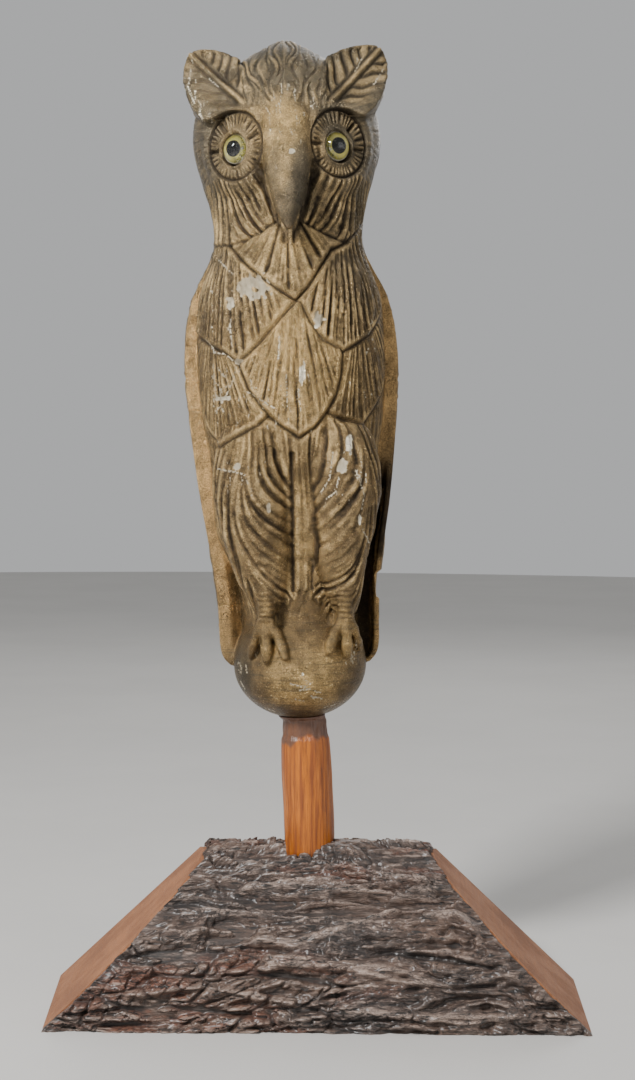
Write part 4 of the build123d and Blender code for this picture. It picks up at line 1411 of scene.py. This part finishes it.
class OWL_OT_eyes(bpy.types.Operator):
    """Finishes the glass eyes"""

    bl_idname = "owl_decoy.eyes"
    bl_label = "Eyes"

    def execute(self, context):
        wear, _ = shared_groups()
        colours = context.scene.owl_colours
        glass = eye_glass()
        black = plain_finish(
            "pupil_black", (0.001, 0.001, 0.001), (0.003, 0.003, 0.003), wear, 0.01, 0.001, 0.00001,
            roughness=0.5, specular_ior_level=0.05,
        )
        putty = plain_finish(
            "putty", (0.42, 0.38, 0.3), (0.3, 0.26, 0.2), wear, 0.01, 0.001, 0.0004, roughness=0.75
        )
        wire = plain_finish(
            "steel_wire", (0.5, 0.5, 0.5), (0.3, 0.27, 0.24), wear, 0.01, 0.001, 0.0001,
            metallic=1.0, roughness=0.35,
        )
        for side in ("left", "right"):
            iris = eye_enamel(colours, wear, side)
            finishes = {"glass": glass, "iris": iris, "pupil": black, "putty": putty, "wire": wire}
            for piece, material in finishes.items():
                set_material(frame["nodes"][f"{side}_eye_{piece}"], material)
        return {"FINISHED"}


class OWL_OT_inside(bpy.types.Operator):
    """Finishes the hidden block, tape, screw and washer"""

    bl_idname = "owl_decoy.inside"
    bl_label = "Hidden pieces"

    def execute(self, context):
        wear, grain = shared_groups()
        tape = plain_finish(
            "paper_tape", (0.52, 0.4, 0.24), (0.36, 0.26, 0.15), wear, 0.02, 0.001, 0.0002, roughness=0.85
        )
        zinc = plain_finish(
            "zinc_plate", (0.62, 0.63, 0.62), (0.4, 0.4, 0.37), wear, 0.01, 0.0008, 0.00008,
            metallic=1.0, roughness=0.4,
        )
        finishes = {
            "socket_block": bare_wood(grain), "seam_tape": tape, "coach_screw": zinc, "screw_washer": zinc
        }
        for node, material in finishes.items():
            set_material(frame["nodes"][node], material)
        return {"FINISHED"}


def post_form():
    """The peeled branch: slight knots and flats, a shoulder and a tenon."""
    rows = [
        (-62, 21.1), (-30, 21.1), (0, 21.2), (30, 21.7), (60, 21.6), (85, 21.0), (100, 20.4),
        (113.6, 19.9), (113.7, 16.5), (135, 16.5), (157, 16.4),
    ]
    heights = np.concatenate([np.linspace(-62, 113.6, 150), np.linspace(113.7, 157, 30)])
    radii = np.interp(heights, *np.array(rows).T)
    table = [(h, 0, 0, r, r, r) for h, r in zip(heights, radii)]
    obj = level_form(table, 120, 260)
    points = points_of(obj)
    turn = np.arctan2(points[:, 1], points[:, 0])
    height = points[:, 2]
    shown = ramp(height, -25, -5) * ramp(height, 113.4, 110)
    wave = 0.35 * np.sin(3 * turn + height * 0.02) + 0.22 * np.sin(7 * turn + 1.3 + 0.015 * height)
    wave += 0.16 * np.sin(13 * turn + 0.05 * height) + 0.12 * np.sin(height * 0.11 + 2 * turn)
    wave += 0.1 * np.sin(31 * turn + 0.6 * np.sin(height * 0.07))
    top = ramp(height, 92, 98) * shown
    wave += top * (0.3 * np.sin(11 * turn + 0.15 * height) + 0.2 * np.sin(19 * turn - 0.35 * height) - 1.5)
    radius = np.hypot(points[:, 0], points[:, 1])
    points[:, :2] *= (1 + np.where(radius > 5, shown * (wave - 0.15) / np.maximum(radius, 5), 0))[:, None]
    points[:, 0] += 2.2 * ramp(height, 113.7, 108) + 1.2 * ramp(height, 100, 5)
    set_points(obj, points)
    ragged = 4 * np.sin(2 * turn + 0.8) + 2.2 * np.sin(5 * turn) + 1.2 * np.sin(11 * turn)
    set_mask(obj, "scuff", ramp(height + ragged, 91, 95) * (height < 113.65) * 0.9)
    set_mask(obj, "foot", 0.75 * ramp(height + 0.3 * ragged, 1, -9))
    return obj


class OWL_OT_post(bpy.types.Operator):
    """Builds the peeled post"""

    bl_idname = "owl_decoy.post"
    bl_label = "Post"

    def execute(self, context):
        wear, grain = shared_groups()
        post = post_form()
        post.name = post.data.name = "peeled_post"
        place(post, perch_matrix())
        finish_piece(post, "post", ["post"], post_wood(context.scene.owl_colours, wear, grain))
        return {"FINISHED"}


def fractal(shape, stretch, sizes, draw):
    """Layered noise on a grid, longer along the columns; sizes are in cells."""
    total = np.zeros(shape)
    for size in sizes:
        layer = blurred_long(draw.standard_normal(shape), size, stretch)
        total += layer / layer.std() * size**0.8
    return total / total.std()


def blurred_long(grid, size, stretch):
    """Blur that is longer along the columns."""
    rows = np.fft.fftfreq(grid.shape[0])[:, None]
    columns = np.fft.rfftfreq(grid.shape[1])[None, :] * stretch
    weight = np.exp(-2 * (math.pi * size) ** 2 * (rows**2 + columns**2))
    return np.fft.irfft2(np.fft.rfft2(grid) * weight, grid.shape)


def plates(x, s, long, tall, draw_seed):
    """Distance between the two nearest of scattered middles: small along the cracks between plates."""
    near = np.full(x.shape, 9.0)
    second = np.full(x.shape, 9.0)
    table = np.random.default_rng(draw_seed).random((64, 64, 2))
    cell_x, cell_s = np.floor(x / long).astype(int), np.floor(s / tall).astype(int)
    for dx in (-1, 0, 1):
        for ds in (-1, 0, 1):
            jitter = table[(cell_x + dx) % 64, (cell_s + ds) % 64]
            away = np.hypot(cell_x + dx + jitter[..., 0] - x / long, cell_s + ds + jitter[..., 1] - s / tall)
            second = np.minimum(second, np.maximum(near, away))
            near = np.minimum(near, away)
    return second - near


def near_line(x, s, points):
    """Distance to a line over the bark."""
    nearest = np.full(x.shape, 1e9)
    for (x0, s0), (x1, s1) in zip(points, points[1:]):
        dx, ds = x1 - x0, s1 - s0
        share = np.clip(((x - x0) * dx + (s - s0) * ds) / (dx * dx + ds * ds), 0, 1)
        nearest = np.minimum(nearest, np.hypot(x - x0 - share * dx, s - s0 - share * ds))
    return nearest


BARK_RIDGES = [  # long smooth ridges: x, and the distance up from the front's lower edge
    [(-106, 78), (-88, 80), (-70, 79)], [(-49, 75), (-19, 69), (13, 80), (64, 99)],
    [(-38, 58), (30, 52), (106, 38)], [(88, 95), (112, 96), (128, 84), (131, 74)],
    [(-60, 118), (0, 124), (40, 116)], [(50, 132), (98, 126)], [(-150, 30), (-90, 36), (-20, 24)],
    [(20, 20), (120, 12), (190, 18)],
]
BARK_CLEFTS = [
    [(-150, 58), (-132, 62), (-112, 63)], [(100, 80), (108, 85), (122, 80)], [(-95, 44), (-30, 46), (20, 37)],
    [(-200, 14), (-120, 20), (-40, 12)], [(30, 66), (92, 60), (150, 50)], [(-20, 96), (50, 106), (100, 108)],
    [(-110, 104), (-60, 100), (-20, 108)],
]


def bark_map(spacing):
    """The bark over a sheet: its height, its cracks, its tops and its red patches.

    x runs along the log and s round it from the front's lower edge, in millimetres.
    """
    x, s = np.meshgrid(np.arange(-250, 250, spacing), np.arange(-10, 250, spacing))
    draw = np.random.default_rng(21)
    shape = x.shape
    drift = fractal(shape, 3.0, [24 / spacing], draw)
    sway = fractal(shape, 2.0, [9 / spacing], draw)
    wx, ws = x + 5 * sway, s + 8 * drift + 2.5 * sway
    warped = lambda grid: sample(grid, (wx - x[0, 0]) / spacing, (ws - s[0, 0]) / spacing)
    swell = warped(fractal(shape, 4.0, [6.5 / spacing], draw))
    fold = warped(fractal(shape, 5.0, [3.1 / spacing], draw))
    rib = warped(fractal(shape, 4.0, [1.5 / spacing], draw))
    fine = fractal(shape, 2.0, [0.8 / spacing], draw)
    height = 0.42 * swell + 0.75 * (0.6 - np.abs(fold)) + 0.34 * (0.6 - np.abs(rib)) + 0.07 * fine
    big = plates(wx, ws, 44, 13, 4)
    small = plates(wx + 3 * sway, ws, 13, 5.5, 5)
    crack = np.maximum(np.exp(-((big / 0.07) ** 2)), 0.7 * np.exp(-((small / 0.09) ** 2)))
    crack *= 0.3 + 0.7 * ramp(drift + 0.4 * sway, -0.9, 0.6)
    smooth = np.zeros(shape)
    for points in BARK_RIDGES:
        smooth = np.maximum(smooth, np.exp(-(((near_line(x, s, points) + 1.3 * sway) / 3.2) ** 2)))
    cleft = np.zeros(shape)
    for points in BARK_CLEFTS:
        cleft = np.maximum(cleft, np.exp(-(((near_line(x, s, points) + 1.2 * fold) / 1.7) ** 2)))
    knot = np.hypot((x - 116) / 1.15, s - 71)
    swirl = np.exp(-((knot / 15) ** 2)) * (0.7 * np.cos(knot * 0.5) + 0.5)
    height = height * (1 - 0.6 * smooth) + 0.85 * smooth + 0.9 * swirl - 0.8 * crack - 1.1 * cleft
    around = blurred(height, 3.5 / spacing)
    # sunk darkens the cracks and hollows in the bark's colour, partly as painted shade
    sunk = np.clip(np.maximum.reduce([0.8 * crack, 0.9 * cleft, (around - height) / 1.15]), 0, 1)
    # proud lightens the tops and the long smooth ridges as a painted highlight
    proud = np.clip((height - around) / 0.85, 0, 1)
    proud = np.maximum(proud, smooth * (1 - crack))
    red = ramp(drift - 0.25 * sway, 0.1, 1.2)
    return height, sunk, proud, red


def bark_form(sizes):
    """The bark as a sheet bent round the log, carved, and cut to the sloping ends."""
    spacing = sizes.bark_detail * 1000 * 1
    low, high = (Vector(corner) * 1000 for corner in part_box("log_bark"))
    radius = high.z - LOG_CENTRE_HEIGHT
    middle_y = low.y + radius
    first = -math.asin(LOG_CENTRE_HEIGHT / radius)
    last = math.acos((middle_y - high.y) / radius)
    bpy.ops.object.select_all(action="DESELECT")
    bpy.ops.mesh.primitive_grid_add(
        x_subdivisions=int(0.8 * (high.x - low.x) / spacing),
        y_subdivisions=int(radius * (last - first) / spacing),
        size=2,
    )
    obj = bpy.context.object
    points = points_of(obj)
    share_x, turn = points[:, 0], first + (points[:, 1] + 1) / 2 * (last - first)
    s = (turn - first) * radius
    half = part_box("log_core")[1].x * 1000 - LOG_END_SPLAY * high.y
    reach = lambda y, z: half + LOG_END_SPLAY * y - LOG_END_RUN * z
    grids = bark_map(spacing)
    read = lambda grid, x: sample(grid, (x + 250) / spacing, (s + 10) / spacing)
    smooth_y, smooth_z = middle_y - radius * np.cos(turn), LOG_CENTRE_HEIGHT + radius * np.sin(turn)
    x = share_x * reach(smooth_y, smooth_z)
    height = read(grids[0], x)
    edge = ramp(s, 0, 3) * ramp(s, s.max(), s.max() - 3)
    r = radius + 0.8 + sizes.bark_relief * 1000 * 0.5 * height * (0.45 + 0.55 * edge)
    r = np.clip(r, radius - 6.6, radius + 7.5)
    y, z = middle_y - r * np.cos(turn), LOG_CENTRE_HEIGHT + r * np.sin(turn)
    y, z = np.minimum(y, high.y), np.maximum(z, 0.0)
    x = share_x * reach(y, z)
    set_points(obj, np.column_stack([x, y, z]))
    for name, grid in zip(("sunk", "proud", "red"), grids[1:]):
        set_mask(obj, name, read(grid, x))
    return obj, middle_y


class OWL_OT_log(bpy.types.Operator):
    """Builds the bark and finishes the log's wood"""

    bl_idname = "owl_decoy.log"
    bl_label = "Log"

    def execute(self, context):
        wear, grain = shared_groups()
        colours = context.scene.owl_colours
        bark, middle_y = bark_form(context.scene.owl_sizes)
        # the rims turn inwards to the wood
        only(bark)
        bpy.ops.object.mode_set(mode="EDIT")
        bpy.ops.mesh.select_all(action="SELECT")
        bpy.ops.mesh.normals_make_consistent(inside=False)
        bpy.ops.mesh.region_to_loop()
        bpy.ops.mesh.extrude_region_move(TRANSFORM_OT_translate={"value": (0, 0, 0)})
        bpy.ops.object.mode_set(mode="OBJECT")
        points = points_of(bark)
        chosen = np.empty(len(points), bool)
        bark.data.vertices.foreach_get("select", chosen)
        middle = np.array([middle_y, LOG_CENTRE_HEIGHT])
        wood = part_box("log_core")[1].z * 1000 - LOG_CENTRE_HEIGHT + 0.3
        offset = points[chosen, 1:] - middle
        inner = middle + offset * (wood / np.linalg.norm(offset, axis=1))[:, None]
        inner[:, 1] = np.maximum(inner[:, 1], 0.0)
        points[chosen, 1:] = inner
        set_points(bark, points)
        triangles = len(bark.data.loops) - 2 * len(bark.data.polygons)
        if triangles > BARK_TRIANGLES:
            apply_modifier(bark, "DECIMATE", decimate_type="COLLAPSE", ratio=BARK_TRIANGLES / triangles)
        bark.name = bark.data.name = "bark_skin"
        place(bark, Matrix.Scale(0.001, 4))
        finish_piece(bark, "stand", ["log_bark"], bark_skin(colours, wear))
        set_material(frame["nodes"]["log_core"], sawn_wood(colours, wear, grain))
        return {"FINISHED"}


class OWL_OT_stage(bpy.types.Operator):
    """Adds the floor, the lights and the camera"""

    bl_idname = "owl_decoy.stage"
    bl_label = "Stage"

    def execute(self, context):
        stage = context.scene.owl_stage
        wear, _ = shared_groups()
        bpy.ops.object.select_all(action="DESELECT")
        bpy.ops.mesh.primitive_circle_add(vertices=96, radius=stage.floor_size, fill_type="NGON")
        floor = context.object
        floor.name = floor.data.name = "floor"
        pale = tuple(stage.floor_colour)
        darker = tuple(0.93 * value for value in pale)
        set_material(floor, plain_finish("pale_floor", pale, darker, wear, 0.5, 0.004, 0.0002, roughness=0.7))
        for name, energy, size, spot, aim in (
            ("key", 96.0, 0.45, (-1.2, -1.5, 1.75), (0, 0, 0.4)),
            ("fill", 15.0, 1.8, (1.9, -1.6, 0.9), (0, 0, 0.4)),
            ("back", 16.0, 1.6, (0.6, 2.2, 1.9), (0, 0, 0.4)),
        ):
            bpy.ops.object.light_add(type="AREA", location=spot)
            light = context.object
            light.name = light.data.name = name
            light.data.energy = energy
            light.data.size = size
            light.rotation_euler = (Vector(aim) - Vector(spot)).to_track_quat("-Z", "Y").to_euler()
        world = bpy.data.worlds.new("studio")
        world.use_nodes = True
        world.node_tree.nodes["Background"].inputs["Color"].default_value = (0.86, 0.87, 0.88, 1)
        world.node_tree.nodes["Background"].inputs["Strength"].default_value = 0.55
        context.scene.world = world
        axis_y = Vector(TURN["pos_m"]).y
        spot = (stage.camera_side, axis_y - stage.camera_distance, stage.camera_height)
        bpy.ops.object.camera_add(location=spot)
        camera = context.object
        camera.name = camera.data.name = "camera"
        camera.data.sensor_fit = "VERTICAL"
        camera.data.sensor_height = 24.0
        camera.data.lens = stage.lens
        camera.data.clip_end = 100.0
        roll = Matrix.Rotation(stage.camera_roll, 4, "Z")
        view = Matrix.Rotation(math.pi / 2 - stage.camera_tilt, 4, "X") @ roll
        camera.rotation_euler = view.to_euler()
        context.scene.camera = camera
        return {"FINISHED"}


class OWL_PT_panel(bpy.types.Panel):
    """Sizes, colours and the pieces, in build order"""

    bl_label = "Owl Decoy"
    bl_idname = "OWL_PT_panel"
    bl_space_type = "VIEW_3D"
    bl_region_type = "UI"
    bl_category = "Owl Decoy"

    def draw(self, context):
        scene = context.scene
        for group in (scene.owl_sizes, scene.owl_colours, scene.owl_stage):
            box = self.layout.box()
            for key in group.bl_rna.properties.keys():
                if key not in ("rna_type", "name"):
                    box.prop(group, key)
        for operator in PIECES:
            self.layout.operator(operator.bl_idname)


PIECES = (OWL_OT_body, OWL_OT_eyes, OWL_OT_inside, OWL_OT_post, OWL_OT_log, OWL_OT_stage)
SETTINGS = (("owl_sizes", OwlSizes), ("owl_colours", OwlColours), ("owl_stage", StageSettings))


def register():
    """Adds the settings, the operators and the panel."""
    for name, group in SETTINGS:
        bpy.utils.register_class(group)
        setattr(bpy.types.Scene, name, PointerProperty(type=group))
    for operator in (*PIECES, OWL_PT_panel):
        bpy.utils.register_class(operator)


def unregister():
    """Removes them again."""
    for operator in reversed((*PIECES, OWL_PT_panel)):
        bpy.utils.unregister_class(operator)
    for name, group in reversed(SETTINGS):
        delattr(bpy.types.Scene, name)
        bpy.utils.unregister_class(group)


def main():
    """Builds everything."""
    register()
    bpy.ops.owl_decoy.body()
    bpy.ops.owl_decoy.eyes()
    bpy.ops.owl_decoy.inside()
    bpy.ops.owl_decoy.post()
    bpy.ops.owl_decoy.log()
    bpy.ops.owl_decoy.stage()


if __name__ == "__main__":
    main()
